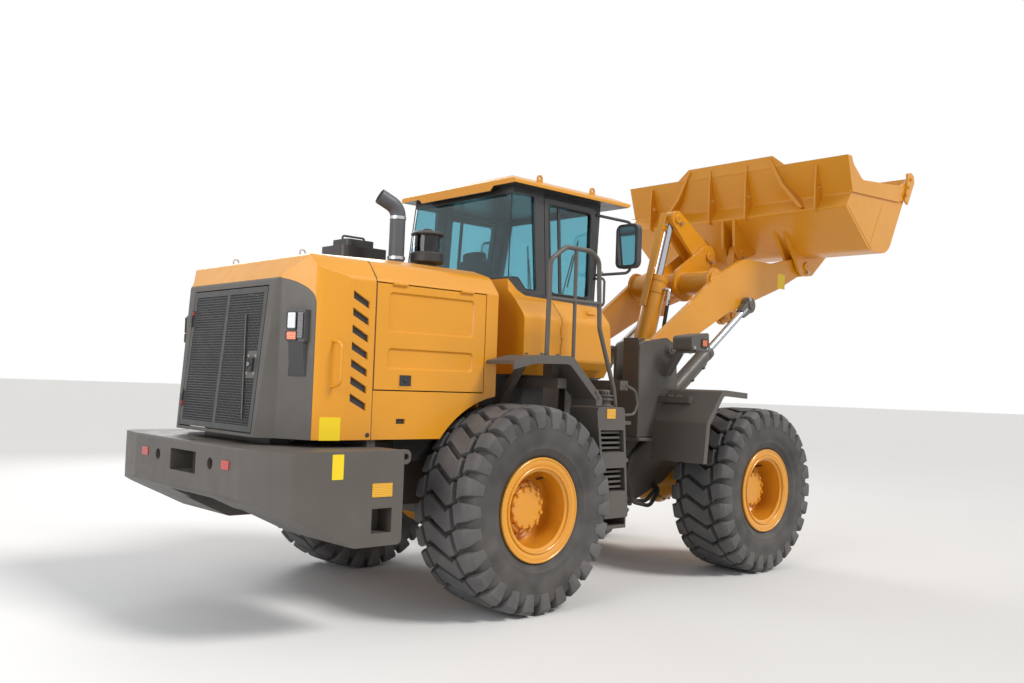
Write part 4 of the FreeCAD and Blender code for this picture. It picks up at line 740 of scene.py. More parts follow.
def metal(name, color, roughness, brushed=0.0, dust=0.05, mask=None, second=None):
    settings = bpy.context.scene.loader_paint
    material, tree, shader = new_material(name, Metallic=1.0)
    where = tree.nodes.new("ShaderNodeTexCoord").outputs["Object"]
    if brushed:
        stretch = tree.nodes.new("ShaderNodeMapping")
        stretch.inputs["Scale"].default_value = (1, 1, brushed)
        tree.links.new(where, stretch.inputs["Vector"])
        where = stretch.outputs["Vector"]
    streak = noise(tree, 60.0, 5.0, where)
    tone = blended(tree, spread(tree, streak, 0.3, 0.7), tuple(c * 0.85 for c in color) + (1,), color + (1,))
    if mask:
        share = mask(tree)
        tone = blended(tree, share, tone, second + (1,))
        tree.links.new(math_node(tree, "SUBTRACT", 1.0, share), shader.inputs["Metallic"])
    dusty = place_group(tree, "Yard dust", {"Color": tone, "Dust": tuple(settings.dust) + (1,),
                                            "Amount": dust})
    tree.links.new(dusty.outputs["Color"], shader.inputs["Base Color"])
    tree.links.new(spread(tree, streak, 0.3, 0.7, roughness * 0.8, roughness * 1.3),
                   shader.inputs["Roughness"])
    relief(tree, shader, streak, 0.06, 0.0006)
    return material


def plastic(name, color, roughness=0.5, dust=0.2, grain=120.0):
    settings = bpy.context.scene.loader_paint
    material, tree, shader = new_material(name, Specular_IOR_Level=0.45)
    dusty = place_group(tree, "Yard dust", {"Color": color + (1,), "Dust": tuple(settings.dust) + (1,),
                                            "Amount": dust})
    tree.links.new(dusty.outputs["Color"], shader.inputs["Base Color"])
    tree.links.new(spread(tree, noise(tree, 15.0, 3.0), 0.3, 0.7, roughness - 0.06, roughness + 0.08),
                   shader.inputs["Roughness"])
    skin = place_group(tree, "Fine grain", {"Scale": grain, "Fine": 0.6})
    relief(tree, shader, skin.outputs["Height"], 0.2, 0.0008)
    return material


def pane(name, color, roughness=0.02):
    """Tinted glass or a clear moulded lens, with a faint film of dust."""
    material, tree, shader = new_material(name, IOR=1.45, Transmission_Weight=1.0)
    film = spread(tree, noise(tree, 6.0, 5.0), 0.4, 0.8, roughness, roughness + 0.05)
    tree.links.new(film, shader.inputs["Roughness"])
    tone = blended(tree, spread(tree, noise(tree, 2.0, 3.0), 0.3, 0.7), tuple(c * 0.94 for c in color) + (1,),
                   color + (1,))
    tree.links.new(tone, shader.inputs["Base Color"])
    return material


def lens(name, color, glow=0.0):
    """A moulded lens with prism rows behind a smooth face."""
    material, tree, shader = new_material(name, Roughness=0.12, Coat_Weight=0.6)
    wave = tree.nodes.new("ShaderNodeTexWave")
    wave.inputs["Scale"].default_value = 28.0
    wave.bands_direction = "Z"
    tree.links.new(tree.nodes.new("ShaderNodeTexCoord").outputs["Object"], wave.inputs["Vector"])
    tone = blended(tree, wave.outputs["Fac"], tuple(c * 0.6 for c in color) + (1,), color + (1,))
    tree.links.new(tone, shader.inputs["Base Color"])
    relief(tree, shader, wave.outputs["Fac"], 0.3, 0.001)
    if glow:
        tree.links.new(tone, shader.inputs["Emission Color"])
        shader.inputs["Emission Strength"].default_value = glow
    return material


def woven(name, color):
    material, tree, shader = new_material(name, Roughness=0.85, Sheen_Weight=0.35)
    where = tree.nodes.new("ShaderNodeTexCoord").outputs["Object"]
    threads = []
    for direction in ("Y", "Z"):
        wave = tree.nodes.new("ShaderNodeTexWave")
        wave.bands_direction = direction
        wave.inputs["Scale"].default_value = 90.0
        wave.inputs["Distortion"].default_value = 0.6
        tree.links.new(where, wave.inputs["Vector"])
        threads.append(wave.outputs["Fac"])
    weave = math_node(tree, "MAXIMUM", *threads)
    tree.links.new(blended(tree, weave, tuple(c * 0.6 for c in color) + (1,), color + (1,)),
                   shader.inputs["Base Color"])
    relief(tree, shader, weave, 0.5, 0.002)
    return material


def finish_table():
    paint = bpy.context.scene.loader_paint
    yellow, grey, black = (tuple(c) for c in (paint.yellow, paint.grey, paint.black))
    dark = tuple(paint.rubber)
    return {
        # In each painted finish the colour after the base colour is the lighter edge tone: partly wear, partly
        # painted highlight.
        "yellow_paint": lambda n: painted(n, yellow, (0.80, 0.38, 0.05), 0.36, 0.03, 0.25, 0.22),
        "cab_paint": lambda n: painted(n, yellow, (0.80, 0.38, 0.05), 0.36, 0.03, 0.2, 0.22, cab_mask, black),
        "roof_paint": lambda n: painted(n, yellow, (0.80, 0.38, 0.05), 0.36, 0.03, 0.2, 0.22, soffit_mask, black),
        "rim_paint": lambda n: painted(n, (0.75, 0.32, 0.014), (0.82, 0.42, 0.06), 0.30, 0.10, 0.3),
        "grey_paint": lambda n: painted(n, grey, (0.18, 0.17, 0.16), 0.52, 0.10, 0.3, 0.08),
        "worn_grey": lambda n: painted(n, tuple(c * 1.2 for c in grey), (0.22, 0.21, 0.20), 0.50, 0.15, 0.6, 0.05),
        "black_paint": lambda n: painted(n, black, (0.10, 0.10, 0.10), 0.42, 0.12, 0.3, 0.15),
        "window_glass": lambda n: pane(n, (0.32, 0.62, 0.69)),
        "smoked_glass": lambda n: pane(n, (0.30, 0.30, 0.32)),
        "clear_lens": lambda n: pane(n, (0.94, 0.96, 0.97)),
        "chromed_rod": lambda n: metal(n, (0.50, 0.53, 0.58), 0.16),
        "rod_and_bar": lambda n: metal(n, (0.50, 0.53, 0.58), 0.16, 0.0, 0.05, bar_mask, yellow),
        "exhaust_steel": lambda n: painted(n, (0.070, 0.078, 0.092), (0.12, 0.12, 0.13), 0.50, 0.10, 0.2, 0.05),
        "zinc": lambda n: metal(n, (0.55, 0.55, 0.56), 0.32),
        "bare_steel": lambda n: metal(n, (0.38, 0.36, 0.34), 0.45, 0.1, 0.3),
        "engine_iron": lambda n: painted(n, (0.07, 0.07, 0.07), (0.2, 0.2, 0.2), 0.55, 0.3),
        "seat_cover": lambda n: woven(n, (0.035, 0.036, 0.04)),
        "tyre_rubber": lambda n: rubber(n, tuple(c * 1.2 for c in dark), 0.22),
        # Tread blocks get a lighter copy of the tyre rubber: partly worn block tops, partly painted light that
        # brightens the tread where it lies in shade.
        "tread_rubber_painted_light": lambda n: rubber(n, tuple(c * 2.1 for c in dark), 0.15),
        "hose_rubber": lambda n: rubber(n, tuple(c * 0.6 for c in dark), 0.15, 160.0),
        "black_plastic": lambda n: plastic(n, (0.022, 0.022, 0.024)),
        "yellow_label": lambda n: plastic(n, (0.86, 0.62, 0.01), 0.38, 0.05),
        "amber_lens": lambda n: lens(n, (0.85, 0.16, 0.01)),
        "red_lens": lambda n: lens(n, (0.60, 0.035, 0.02)),
        "yellow_lens": lambda n: lens(n, (0.90, 0.45, 0.01)),
        "white_lens": lambda n: lens(n, (0.80, 0.82, 0.84)),
        "smoked_lens": lambda n: lens(n, (0.030, 0.020, 0.020)),
        "lamp_bowl": lambda n: metal(n, (0.85, 0.86, 0.88), 0.08),
        "mirror_face": lambda n: metal(n, (0.78, 0.84, 0.86), 0.03, 0.0, 0.0),
    }


def finish_named(name):
    return bpy.data.materials.get(name + "_finish") or finish_table()[name](name + "_finish")


# Operators

TWO_TONE = {"cab_body": "cab_paint", "cab_door_left": "cab_paint", "cab_door_right": "cab_paint",
            "cab_roof": "roof_paint", "tilt_rod": "rod_and_bar"}


class LOADER_OT_finishes(bpy.types.Operator):
    """Gives every solid of the machine the finish of its material slot"""
    bl_idname = "loader.finishes"
    bl_label = "Paint and finishes"

    def execute(self, context):
        for part in frame["record"]["subparts"]:
            node = frame["nodes"][part["node"]]
            node.data.materials.clear()
            finish = TWO_TONE.get(part["node"], part["material_slot"])
            node.data.materials.append(finish_named(finish))
        return {"FINISHED"}


# Tyre surface: distance along the section from the middle, then (half width, radius) on the blocks
# and in the grooves
TREAD = ((0.000, (0.000, 0.785), (0.000, 0.734)), (0.150, (0.150, 0.784), (0.150, 0.733)),
         (0.225, (0.225, 0.778), (0.220, 0.728)), (0.270, (0.269, 0.771), (0.256, 0.716)),
         (0.312, (0.297, 0.738), (0.279, 0.698)), (0.350, (0.299, 0.698), (0.289, 0.674)),
         (0.395, (0.299, 0.652), (0.2935, 0.642)), (0.430, (0.2945, 0.616), (0.2925, 0.614)))
# Middle of a groove: distance along the section, share of the pitch
GROOVE = ((-0.430, 0.19), (-0.225, 0.15), (-0.098, -0.29), (0.098, 0.29), (0.225, -0.15), (0.430, -0.19))
BLOCK_ROWS = ((-0.430, -0.183), (-0.145, 0.145), (0.183, 0.430))
BLOCK_SLANT = 0.014
BLOCK_ROOT = 0.004
SIDEWALL = ((0.2915, 0.600), (0.2935, 0.590), (0.2935, 0.520), (0.290, 0.512), (0.283, 0.470),
            (0.2835, 0.462), (0.277, 0.452), (0.262, 0.425), (0.252, 0.404), (0.243, 0.398),
            (0.243, 0.3195))


def between(table, s, column):
    """Reads one column of a table of rising first values, in between its rows."""
    for low, high in zip(table, table[1:]):
        if s <= high[0] + 1e-9:
            t = (s - low[0]) / (high[0] - low[0])
            a, b = low[column], high[column]
            return a + (b - a) * t if isinstance(a, float) else Vector(a).lerp(Vector(b), t)
    raise ValueError("outside the table")


def tread_point(s, share, pitch, groove_floor):
    width, radius = between(TREAD, abs(s), 2 if groove_floor else 1)
    if groove_floor:
        radius -= BLOCK_ROOT
    angle = share * pitch
    return Vector((radius * math.sin(angle), math.copysign(width, s), radius * math.cos(angle)))


def tread_blocks(bm, centre, pitch, gap):
    """The three blocks of one pitch: a shoulder block each side and a slanted one between them."""
    stops = sorted({round(sign * row[0], 4) for row in TREAD for sign in (1, -1)} | {g[0] for g in GROOVE})
    for first, last in BLOCK_ROWS:
        columns = [first] + [s for s in stops if first + 0.004 < s < last - 0.004] + [last]
        rings = []
        for s in columns:
            middle = between(GROOVE, s, 1)
            half = gap * (1.0 + 1.1 * max(0.0, abs(s) - 0.225) / 0.205)
            low, high = middle + half, middle + 1 - half
            root = 0.025 if s not in (first, last) or abs(s) < 0.4 else 0.0
            slant = BLOCK_SLANT if s in (first, last) and abs(s) < 0.4 else 0.0
            side = 0.005 if slant and s == last else (-0.005 if slant else 0.0)
            top = [tread_point(s + slant * k, low + (high - low) * (k + 1) / 2, pitch, False)
                   for k in (-1, 0, 1)]
            floor = [tread_point(s + slant * k + side,
                                 low - root + (high - low + 2 * root) * (k + 1) / 2, pitch, True)
                     for k in (1, 0, -1)]
            rings.append([bm.verts.new(centre + p) for p in top + floor])
        for a, b in zip(rings, rings[1:]):
            for i in range(6):
                bm.faces.new((a[i], a[(i + 1) % 6], b[(i + 1) % 6], b[i]))
        bm.faces.new(rings[0][::-1])
        bm.faces.new(rings[-1])


class LOADER_OT_tyres(bpy.types.Operator):
    """Four tyres with slanted centre blocks and shoulder blocks that run down the sidewall"""
    bl_idname = "loader.tyres"
    bl_label = "Tyres"

    def execute(self, context):
        settings = context.scene.loader_tyres
        pitch = math.tau / settings.lugs
        for name, x, y, sign in WHEELS:
            centre = at(x, y, AXLE_Z)
            cell = bmesh.new()
            tread_blocks(cell, centre, pitch, settings.gap)
            bmesh.ops.recalc_face_normals(cell, faces=cell.faces)
            bmesh.ops.bevel(cell, geom=[e for e in cell.edges if e.calc_face_angle(0) > 0.7],
                            offset=0.005, segments=1, affect="EDGES")
            mesh = bpy.data.meshes.new("cell")
            cell.to_mesh(mesh)
            cell.free()
            body = "wheel_" + name
            # The tread's rubber is lighter than the casing's, partly as painted light where the tread lies in
            # shade.
            tread = grown("tread_" + name, mesh, tree_named("Round the axle"),
                          {"Count": settings.lugs, "Centre": tuple(centre)},
                          finish_named("tread_rubber_painted_light"), body)
            carcass = bmesh.new()
            half = [(row[2][1], row[2][0]) for row in TREAD] + [(r, w) for w, r in SIDEWALL]
            section = [(r, -w) for r, w in half[:0:-1]] + half
            turned(carcass, section, centre, (0, 1, 0), 112)
            casing = add_piece("casing_" + name, carcass, finish_named("tyre_rubber"), body)
            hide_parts("tyre_" + name)
            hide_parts("tyre_" + name)
        return {"FINISHED"}


class LOADER_OT_wheel_hardware(bpy.types.Operator):
    """Hub bolts, rim nuts and valve stems"""
    bl_idname = "loader.wheel_hardware"
    bl_label = "Wheel hardware"

    def execute(self, context):
        # Circle: bolts, radius, distance out from the wheel's middle, size
        circles = ((12, 0.144, 0.123, 0.55), (12, 0.175, 0.097, 0.7), (24, 0.225, -0.028, 1.0))
        for name, x, y, sign in WHEELS:
            centre = at(x, y, AXLE_Z)
            places = []
            for count, radius, out, size in circles:
                for i in range(count):
                    angle = math.tau * (i + 0.5) / count
                    places.append((centre + Vector((radius * math.cos(angle), sign * out,
                                                    radius * math.sin(angle))), (0, sign, 0)))
            bolts("hub_bolts_" + name, places, "wheel_" + name, 1.0, "rim_paint")
            lips = bmesh.new()
            for radius, out, thick in ((0.385, 0.262, 0.010), (0.318, 0.258, 0.009)):
                ring(lips, centre + Vector((0, sign * out, 0)), (0, 1, 0), radius, thick, 96)
            add_piece("rim_lips_" + name, lips, finish_named("rim_paint"), "wheel_" + name)
            valve = bmesh.new()
            root = centre + Vector((0.19, sign * 0.02, 0.20))
            tube(valve, [root, root + Vector((0.02, sign * 0.10, 0.03)),
                         root + Vector((0.03, sign * 0.16, 0.035))], 0.006)
            add_piece("valve_" + name, valve, finish_named("hose_rubber"), "wheel_" + name)
        return {"FINISHED"}


# Outer face of the grille door: it leans forward as it rises
GRILLE_LEAN = 90.0 / 1070.0
GRILLE_FACING = (Vector((0, -1, 0)), Vector((GRILLE_LEAN, 0, 1)).normalized())


def grille_place(y, z, inside=0.0):
    return at(-1.972 + GRILLE_LEAN * (z - 1.300), y, z) - outward(GRILLE_FACING) * inside


class LOADER_OT_grille(bpy.types.Operator):
    """Mesh, latch, prop and hinge caps of the grille door"""
    bl_idname = "loader.grille"
    bl_label = "Grille"

    def execute(self, context):
        settings = context.scene.loader_grille
        body = "grille_door"
        width, height = 0.498, 0.916
        for side, sign in SIDES:
            middle = sign * 0.269
            count = round(width / settings.pitch)
            upright = bmesh.new()
            plate(upright, grille_place(middle - width / 2 + settings.pitch / 2, 1.830, 0.006), GRILLE_FACING,
                  settings.wire, height, 0.004, 0.001, 0.0)
            rows("mesh_uprights_" + side, upright, count, (0, width / count, 0), 1, (0, 0, 0),
                 "black_paint", body)
            level = bmesh.new()
            count = round(height / settings.pitch)
            plate(level, grille_place(middle, 1.372 + settings.pitch / 2, 0.0055), GRILLE_FACING,
                  width, settings.wire, 0.004, 0.001, 0.0)
            rows("mesh_levels_" + side, level, 1, (0, 0, 0), count,
                 GRILLE_FACING[1] * (height / count), "black_paint", body)
        prop = bmesh.new()
        rod(prop, grille_place(-0.30, 2.14, -0.004), grille_place(-0.42, 1.42, -0.004), 0.006)
        add_piece("grille_prop", prop, finish_named("worn_grey"), body)
        panel = bmesh.new()
        plate(panel, grille_place(-0.455, 1.790, 0.003), GRILLE_FACING, 0.125, 0.190, 0.004)
        add_piece("latch_panel", panel, finish_named("grey_paint"), body, bevel=0.001)
        latch = bmesh.new()
        plate(latch, grille_place(-0.455, 1.790), GRILLE_FACING, 0.080, 0.095, 0.014, 0.008)
        border(latch, grille_place(-0.455, 1.790, -0.013), GRILLE_FACING, 0.072, 0.086, 0.010, 0.006, 0.008)
        add_piece("latch", latch, finish_named("black_plastic"), body, bevel=0.001)
        key = bmesh.new()
        centre = grille_place(-0.455, 1.790, -0.013)
        out = outward(GRILLE_FACING)
        rod(key, centre, centre + out * 0.012, 0.013)
        plate(key, centre + out * 0.011, GRILLE_FACING, 0.008, 0.030, 0.008, 0.002)
        add_piece("latch_key", key, finish_named("zinc"), body)
        bolts("latch_screws", [(grille_place(-0.455 + u, 1.790 + v), out) for u in (-0.05, 0.05)
                               for v in (-0.06, 0.06)], body, 0.5)
        caps = bmesh.new()
        for z in (1.49, 2.17):
            plate(caps, grille_place(0.548, z), GRILLE_FACING, 0.020, 0.032, 0.010)
        add_piece("grille_hinge_caps", caps, finish_named("red_lens"), body, bevel=0.001)
        return {"FINISHED"}


class LOADER_OT_lamps(bpy.types.Operator):
    """Lenses of the rear lamps, the head lamps and their indicators"""
    bl_idname = "loader.lamps"
    bl_label = "Lamps"

    def execute(self, context):
        for side, sign in SIDES:
            along = Vector((0.476, sign * 0.879, 0)).normalized()
            out = Vector((-0.879, sign * 0.476, 0)).normalized()
            facing = (along * -sign, UP)

            def spot(s, z, proud=0.0):
                return at(-1.850, sign * 0.690, z) + along * s + out * (0.045 + proud)
            # Place along the pod, height, width and height of the lens, finish
            for name, s, z, width, height, finish in (
                    ("tail_clear", 0.112, 2.092, 0.062, 0.108, "white_lens"),
                    ("tail_amber", 0.114, 1.990, 0.074, 0.056, "amber_lens"),
                    ("tail_red", 0.178, 2.060, 0.044, 0.180, "smoked_lens")):
                bm = bmesh.new()
                plate(bm, spot(s, z), facing, width, height, 0.009, 0.010)
                add_piece(f"{name}_{side}", bm, finish_named(finish), "rear_frame", bevel=0.003)
            rim = bmesh.new()
            border(rim, spot(0.112, 2.092), facing, 0.074, 0.122, 0.007, 0.012, 0.014)
            border(rim, spot(0.114, 1.990), facing, 0.086, 0.068, 0.007, 0.012, 0.014)
            add_piece("tail_rims_" + side, rim, finish_named("black_plastic"), "rear_frame", bevel=0.001)
            head = bmesh.new()
            plate(head, at(2.402, sign * 1.0075, 2.175), FORWARD, 0.172, 0.134, 0.010, 0.016)
            add_piece("head_lamp_" + side, head, finish_named("white_lens"), "front_frame", bevel=0.003)
            turn = bmesh.new()
            plate(turn, at(2.342, sign * 1.115, 2.166), sideways(sign), 0.074, 0.060, 0.009, 0.006)
            add_piece("indicator_" + side, turn, finish_named("amber_lens"), "front_frame", bevel=0.003)
            rim = bmesh.new()
            border(rim, at(2.342, sign * 1.115, 2.166), sideways(sign), 0.094, 0.080, 0.010, 0.011, 0.010)
            add_piece("indicator_rim_" + side, rim, finish_named("black_plastic"), "front_frame", bevel=0.001)
            bolts("lamp_bolts_" + side, [(at(x, sign * 1.115, 2.118), (0, sign, 0)) for x in (2.19, 2.38)]
                  + [(at(2.245, sign * y, 2.069), (0, 0, -1)) for y in (0.95, 1.03)], "front_frame", 0.8)
        return {"FINISHED"}


# Flat plates: name, body, place, way it faces, width, height, finish
FLAT_PLATES = (
    ("rear_reflector", "rear_frame", (-2.180, 0.645, 1.128), "rear", 0.105, 0.060, "red_lens"),
    ("side_reflector", "rear_frame", (-1.372, 1.260, 0.992), "side", 0.160, 0.090, "yellow_lens"),
    ("side_notice", "rear_frame", (-1.720, 1.260, 1.152), "side", 0.085, 0.160, "yellow_label"),
    ("ladder_reflector", "rear_frame", (0.872, 1.270, 1.505), "side", 0.105, 0.080, "yellow_lens"),
    ("arm_notice", "boom", (4.500, 0.585, 2.990), "side", 0.150, 0.170, "yellow_label"),
)


class LOADER_OT_plates(bpy.types.Operator):
    """Reflectors and blank plates"""
    bl_idname = "loader.plates"
    bl_label = "Reflectors and plates"

    def execute(self, context):
        for name, body, (x, y, z), way, width, height, finish in FLAT_PLATES:
            for side, sign in SIDES:
                bm = bmesh.new()
                facing = REARWARD if way == "rear" else sideways(sign)
                plate(bm, at(x, sign * y, z), facing, width, height, 0.0018 if "label" in finish else 0.006)
                add_piece(f"{name}_{side}", bm, finish_named(finish), body, bevel=0.0006)
        for side, sign in SIDES:
            bm = bmesh.new()
            slant = Vector((-0.985 * sign, -0.171, 0))
            plate(bm, at(-1.600, sign * 0.9515, 1.376), (slant, UP), 0.150, 0.155, 0.0018)
            add_piece("hood_notice_" + side, bm, finish_named("yellow_label"), "rear_frame")
            plug = bmesh.new()
            turned(plug, [(0, -0.002), (0.016, -0.002), (0.016, 0.004), (0.011, 0.009), (0, 0.010)],
                   at(-1.310, sign * 0.970, 1.335), (0, sign, 0), 24)
            add_piece("panel_plug_" + side, plug, finish_named("black_plastic"), "rear_frame")
        return {"FINISHED"}


class LOADER_OT_hood_trim(bpy.types.Operator):
    """Slot backs, door latches, lifting eyes and the fittings on the hood's top"""
    bl_idname = "loader.hood_trim"
    bl_label = "Hood trim"

    def execute(self, context):
        for side, sign in SIDES:
            backs = bmesh.new()
            for k in range(7):
                z = 2.320 - 0.117 * k
                outline = [(-1.463, z - 0.001), (-1.333, z - 0.070), (-1.333, z - 0.119), (-1.463, z - 0.054)]
                prism(backs, [at(x, sign * 0.9505, h) for x, h in outline], (0, sign * 0.002, 0))
            block(backs, -1.070, -0.995, sign * 0.9505, sign * 0.9525, 1.410, 1.444)
            add_piece("slot_backs_" + side, backs, finish_named("black_plastic"), "rear_frame")
            door = "hood_side_door_" + side
            latch = bmesh.new()
            border(latch, at(-1.005, sign * 0.970, 1.715), sideways(sign), 0.125, 0.100, 0.010, 0.003, 0.008)
            add_piece("door_latch_" + side, latch, finish_named("yellow_paint"), door, bevel=0.001)
            lock = bmesh.new()
            plate(lock, at(-1.005, sign * 0.970, 1.715), sideways(sign), 0.100, 0.076, 0.0015, 0.006)
            turned(lock, [(0, 0), (0.014, 0), (0.014, 0.006), (0.010, 0.009), (0, 0.009)],
                   at(-1.005, sign * 0.970, 1.715), (0, sign, 0), 24)
            add_piece("door_lock_" + side, lock, finish_named("black_plastic"), door)
            eye = bmesh.new()
            root = at(-1.600, sign * 0.500, 2.560)
            turned(eye, [(0, -0.004), (0.022, -0.004), (0.020, 0.008), (0.009, 0.014), (0, 0.014)], root, UP, 24)
            ring(eye, root + UP * 0.036, (0, 1, 0), 0.022, 0.006)
            add_piece("lifting_eye_" + side, eye, finish_named("zinc"), "rear_frame")
            seam = bmesh.new()
            tube(seam, [at(-1.280, sign * y, z) for y, z in
                        ((0.970, 1.300), (0.970, 2.418), (0.860, 2.544), (0.690, 2.583), (0, 2.583))],
                 0.0025, 0.06, 1)
            add_piece("hood_seam_" + side, seam, finish_named("black_plastic"), "rear_frame")
        clamp = bmesh.new()
        for z, grow in ((2.680, 0.008), (3.000, 0.004)):
            turned(clamp, [(0.060, -0.012), (0.062 + grow, -0.012), (0.062 + grow, 0.012), (0.060, 0.012)],
                   at(-0.644, -0.300, z), UP, 40)
        rod(clamp, at(-0.590, -0.255, 2.680), at(-0.560, -0.232, 2.680), 0.006)
        add_piece("exhaust_bands", clamp, finish_named("zinc"), "rear_frame")
        cleaner = bmesh.new()
        root = at(-0.380, -0.350, 2.600)
        turned(cleaner, [(0, 0), (0.078, 0), (0.078, 0.055), (0.128, 0.066), (0.136, 0.074), (0.136, 0.138),
                         (0.128, 0.148), (0.104, 0.152), (0, 0.152)], root, UP, 48)
        turned(cleaner, [(0, 0.284), (0.108, 0.284), (0.132, 0.290), (0.134, 0.300), (0.112, 0.318),
                         (0.040, 0.330), (0.036, 0.342), (0, 0.344)], root, UP, 48)
        piece = add_piece("air_cleaner", cleaner, finish_named("black_plastic"), "rear_frame")
        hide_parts("air_precleaner")
        bowl = bmesh.new()
        turned(bowl, [(0.101, 0.151), (0.105, 0.151), (0.109, 0.220), (0.106, 0.285), (0.102, 0.285),
                      (0.105, 0.220)], root, UP, 48)
        piece = add_piece("air_cleaner_bowl", bowl, finish_named("smoked_glass"), "rear_frame")
        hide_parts("air_precleaner")
        vanes = bmesh.new()
        turned(vanes, [(0, 0.151), (0.050, 0.151), (0.050, 0.285), (0, 0.285)], root, UP, 32)
        for i in range(12):
            angle = math.tau * i / 12
            out = Vector((math.cos(angle), math.sin(angle), 0))
            plate(vanes, root + UP * 0.218 + out * 0.045, (Vector((-out.y, out.x, 0)), UP), 0.006, 0.130,
                  0.052, 0.002)
        piece = add_piece("air_cleaner_vanes", vanes, finish_named("black_plastic"), "rear_frame")
        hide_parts("air_precleaner")
        bolts("box_screws", [(at(x, 0.010, 2.650), (0, -1, 0)) for x in (-0.87, -0.79, -0.71, -0.63, -0.57)]
              + [(at(-0.940, y, 2.650), (-1, 0, 0)) for y in (0.08, 0.185, 0.29)], "rear_frame", 0.6)
        strap = bmesh.new()
        plate(strap, at(-0.760, 0.010, 2.700), sideways(-1), 0.030, 0.150, 0.004, 0.003)
        add_piece("box_strap", strap, finish_named("black_plastic"), "rear_frame")
        return {"FINISHED"}


def cab_side(x, z, sign, proud=0.0):
    """A place on the upper side of the cab, which leans in as it rises."""
    return at(x, sign * (0.720 - 0.0682 * (z - 2.490) + proud), z)


class LOADER_OT_cab_trim(bpy.types.Operator):
    """Window seals, sliding pane, handles, mirror faces and wipers"""
    bl_idname = "loader.cab_trim"
    bl_label = "Cab trim"

    def execute(self, context):
        for side, sign in SIDES:
            door = "cab_door_" + side
            seal = bmesh.new()
            loop_tube(seal, [cab_side(x, z, sign, -0.002) for x, z in
                             ((0.680, 2.500), (1.150, 2.500), (1.215, 3.270), (0.675, 3.270))], 0.009, 0.05)
            add_piece("door_seal_" + side, seal, finish_named("hose_rubber"), door)
            slider = bmesh.new()
            prism(slider, [cab_side(x, 2.500, sign, d) for x, d in
                           ((0.790, -0.024), (0.822, -0.024), (0.822, -0.008), (0.790, -0.008))],
                  cab_side(0.790, 3.270, sign) - cab_side(0.790, 2.500, sign))
            add_piece("sliding_pane_bar_" + side, slider, finish_named("black_plastic"), door, bevel=0.002)
            lean = Vector((0, -0.651 * sign, 0.759))
            facing = (Vector((-sign, 0, 0)), lean)
            handle = bmesh.new()
            border(handle, at(1.020, sign * 0.866, 2.345), facing, 0.150, 0.075, 0.012, 0.004, 0.012)
            plate(handle, at(1.020, sign * 0.866, 2.345), facing, 0.090, 0.030, 0.016, 0.010)
            add_piece("door_handle_" + side, handle, finish_named("yellow_paint"), door, bevel=0.002)
            rear = bmesh.new()
            tube(rear, [at(0.196, sign * 0.704, 2.600), at(0.246, sign * 0.655, 3.310)], 0.005)
            tube(rear, [cab_side(x, z, sign, -0.003) for x, z in
                        ((0.225, 2.600), (0.300, 2.600), (0.380, 2.510), (0.505, 2.510), (0.495, 3.310))],
                 0.006, 0.03)
            add_piece("quarter_seal_" + side, rear, finish_named("hose_rubber"), "rear_frame")
            face = bmesh.new()
            plate(face, at(1.405, sign * 0.925, 2.983), REARWARD, 0.205, 0.345, 0.003, 0.040)
            add_piece("mirror_face_" + side, face, finish_named("mirror_face"), "rear_frame")
            back = bmesh.new()
            border(back, at(1.405, sign * 0.925, 2.983), REARWARD, 0.238, 0.378, 0.018, 0.006, 0.055)
            add_piece("mirror_rim_" + side, back, finish_named("black_plastic"), "rear_frame", bevel=0.002)
            clamps = bmesh.new()
            for z, y in ((3.235, 0.800), (2.745, 0.700)):
                ring(clamps, at(1.400 if z > 3 else 1.345, sign * y, z), (0.45, sign, 0), 0.014, 0.005, 24)
            add_piece("mirror_clamps_" + side, clamps, finish_named("zinc"), "rear_frame")
            wiper = bmesh.new()
            tube(wiper, [at(1.285, sign * 0.16, 2.400), at(1.330, sign * 0.18, 2.450),
                         at(1.378, sign * 0.30, 2.950)], 0.006)
            tube(wiper, [at(1.352, sign * 0.26, 2.640), at(1.398, sign * 0.34, 3.080)], 0.007)
            add_piece("wiper_" + side, wiper, finish_named("black_plastic"), "rear_frame")
        bolts("cab_mount_bolts", [(at(x, sign * 0.94, 1.780), (0, 0, -1)) for x in (0.36, 0.40)
                                  for sign in (1, -1)], "rear_frame", 1.1)
        return {"FINISHED"}


def cushion(bm, middle, size, turn=0.0, crown=0.2):
    """A padded block whose faces swell and whose corners are drawn in."""
    made = bmesh.ops.create_cube(bm, size=2.0)
    bmesh.ops.subdivide_edges(bm, edges=list({e for v in made["verts"] for e in v.link_edges}), cuts=9,
                              use_grid_fill=True)
    spin = Matrix.Rotation(turn, 3, "Y")
    for vert in [v for v in bm.verts if not v.tag]:
        u, v, w = vert.co
        norm = (abs(u) ** 5 + abs(v) ** 5 + abs(w) ** 5) ** 0.2
        u, v, w = u / norm, v / norm, w / norm
        w *= 1 + crown * (1 - u * u) * (1 - v * v)
        v *= 1 - 0.04 * (1 - u * u)
        vert.co = Vector(middle) + spin @ Vector((u * size[0] / 2, v * size[1] / 2, w * size[2] / 2))
        vert.tag = True


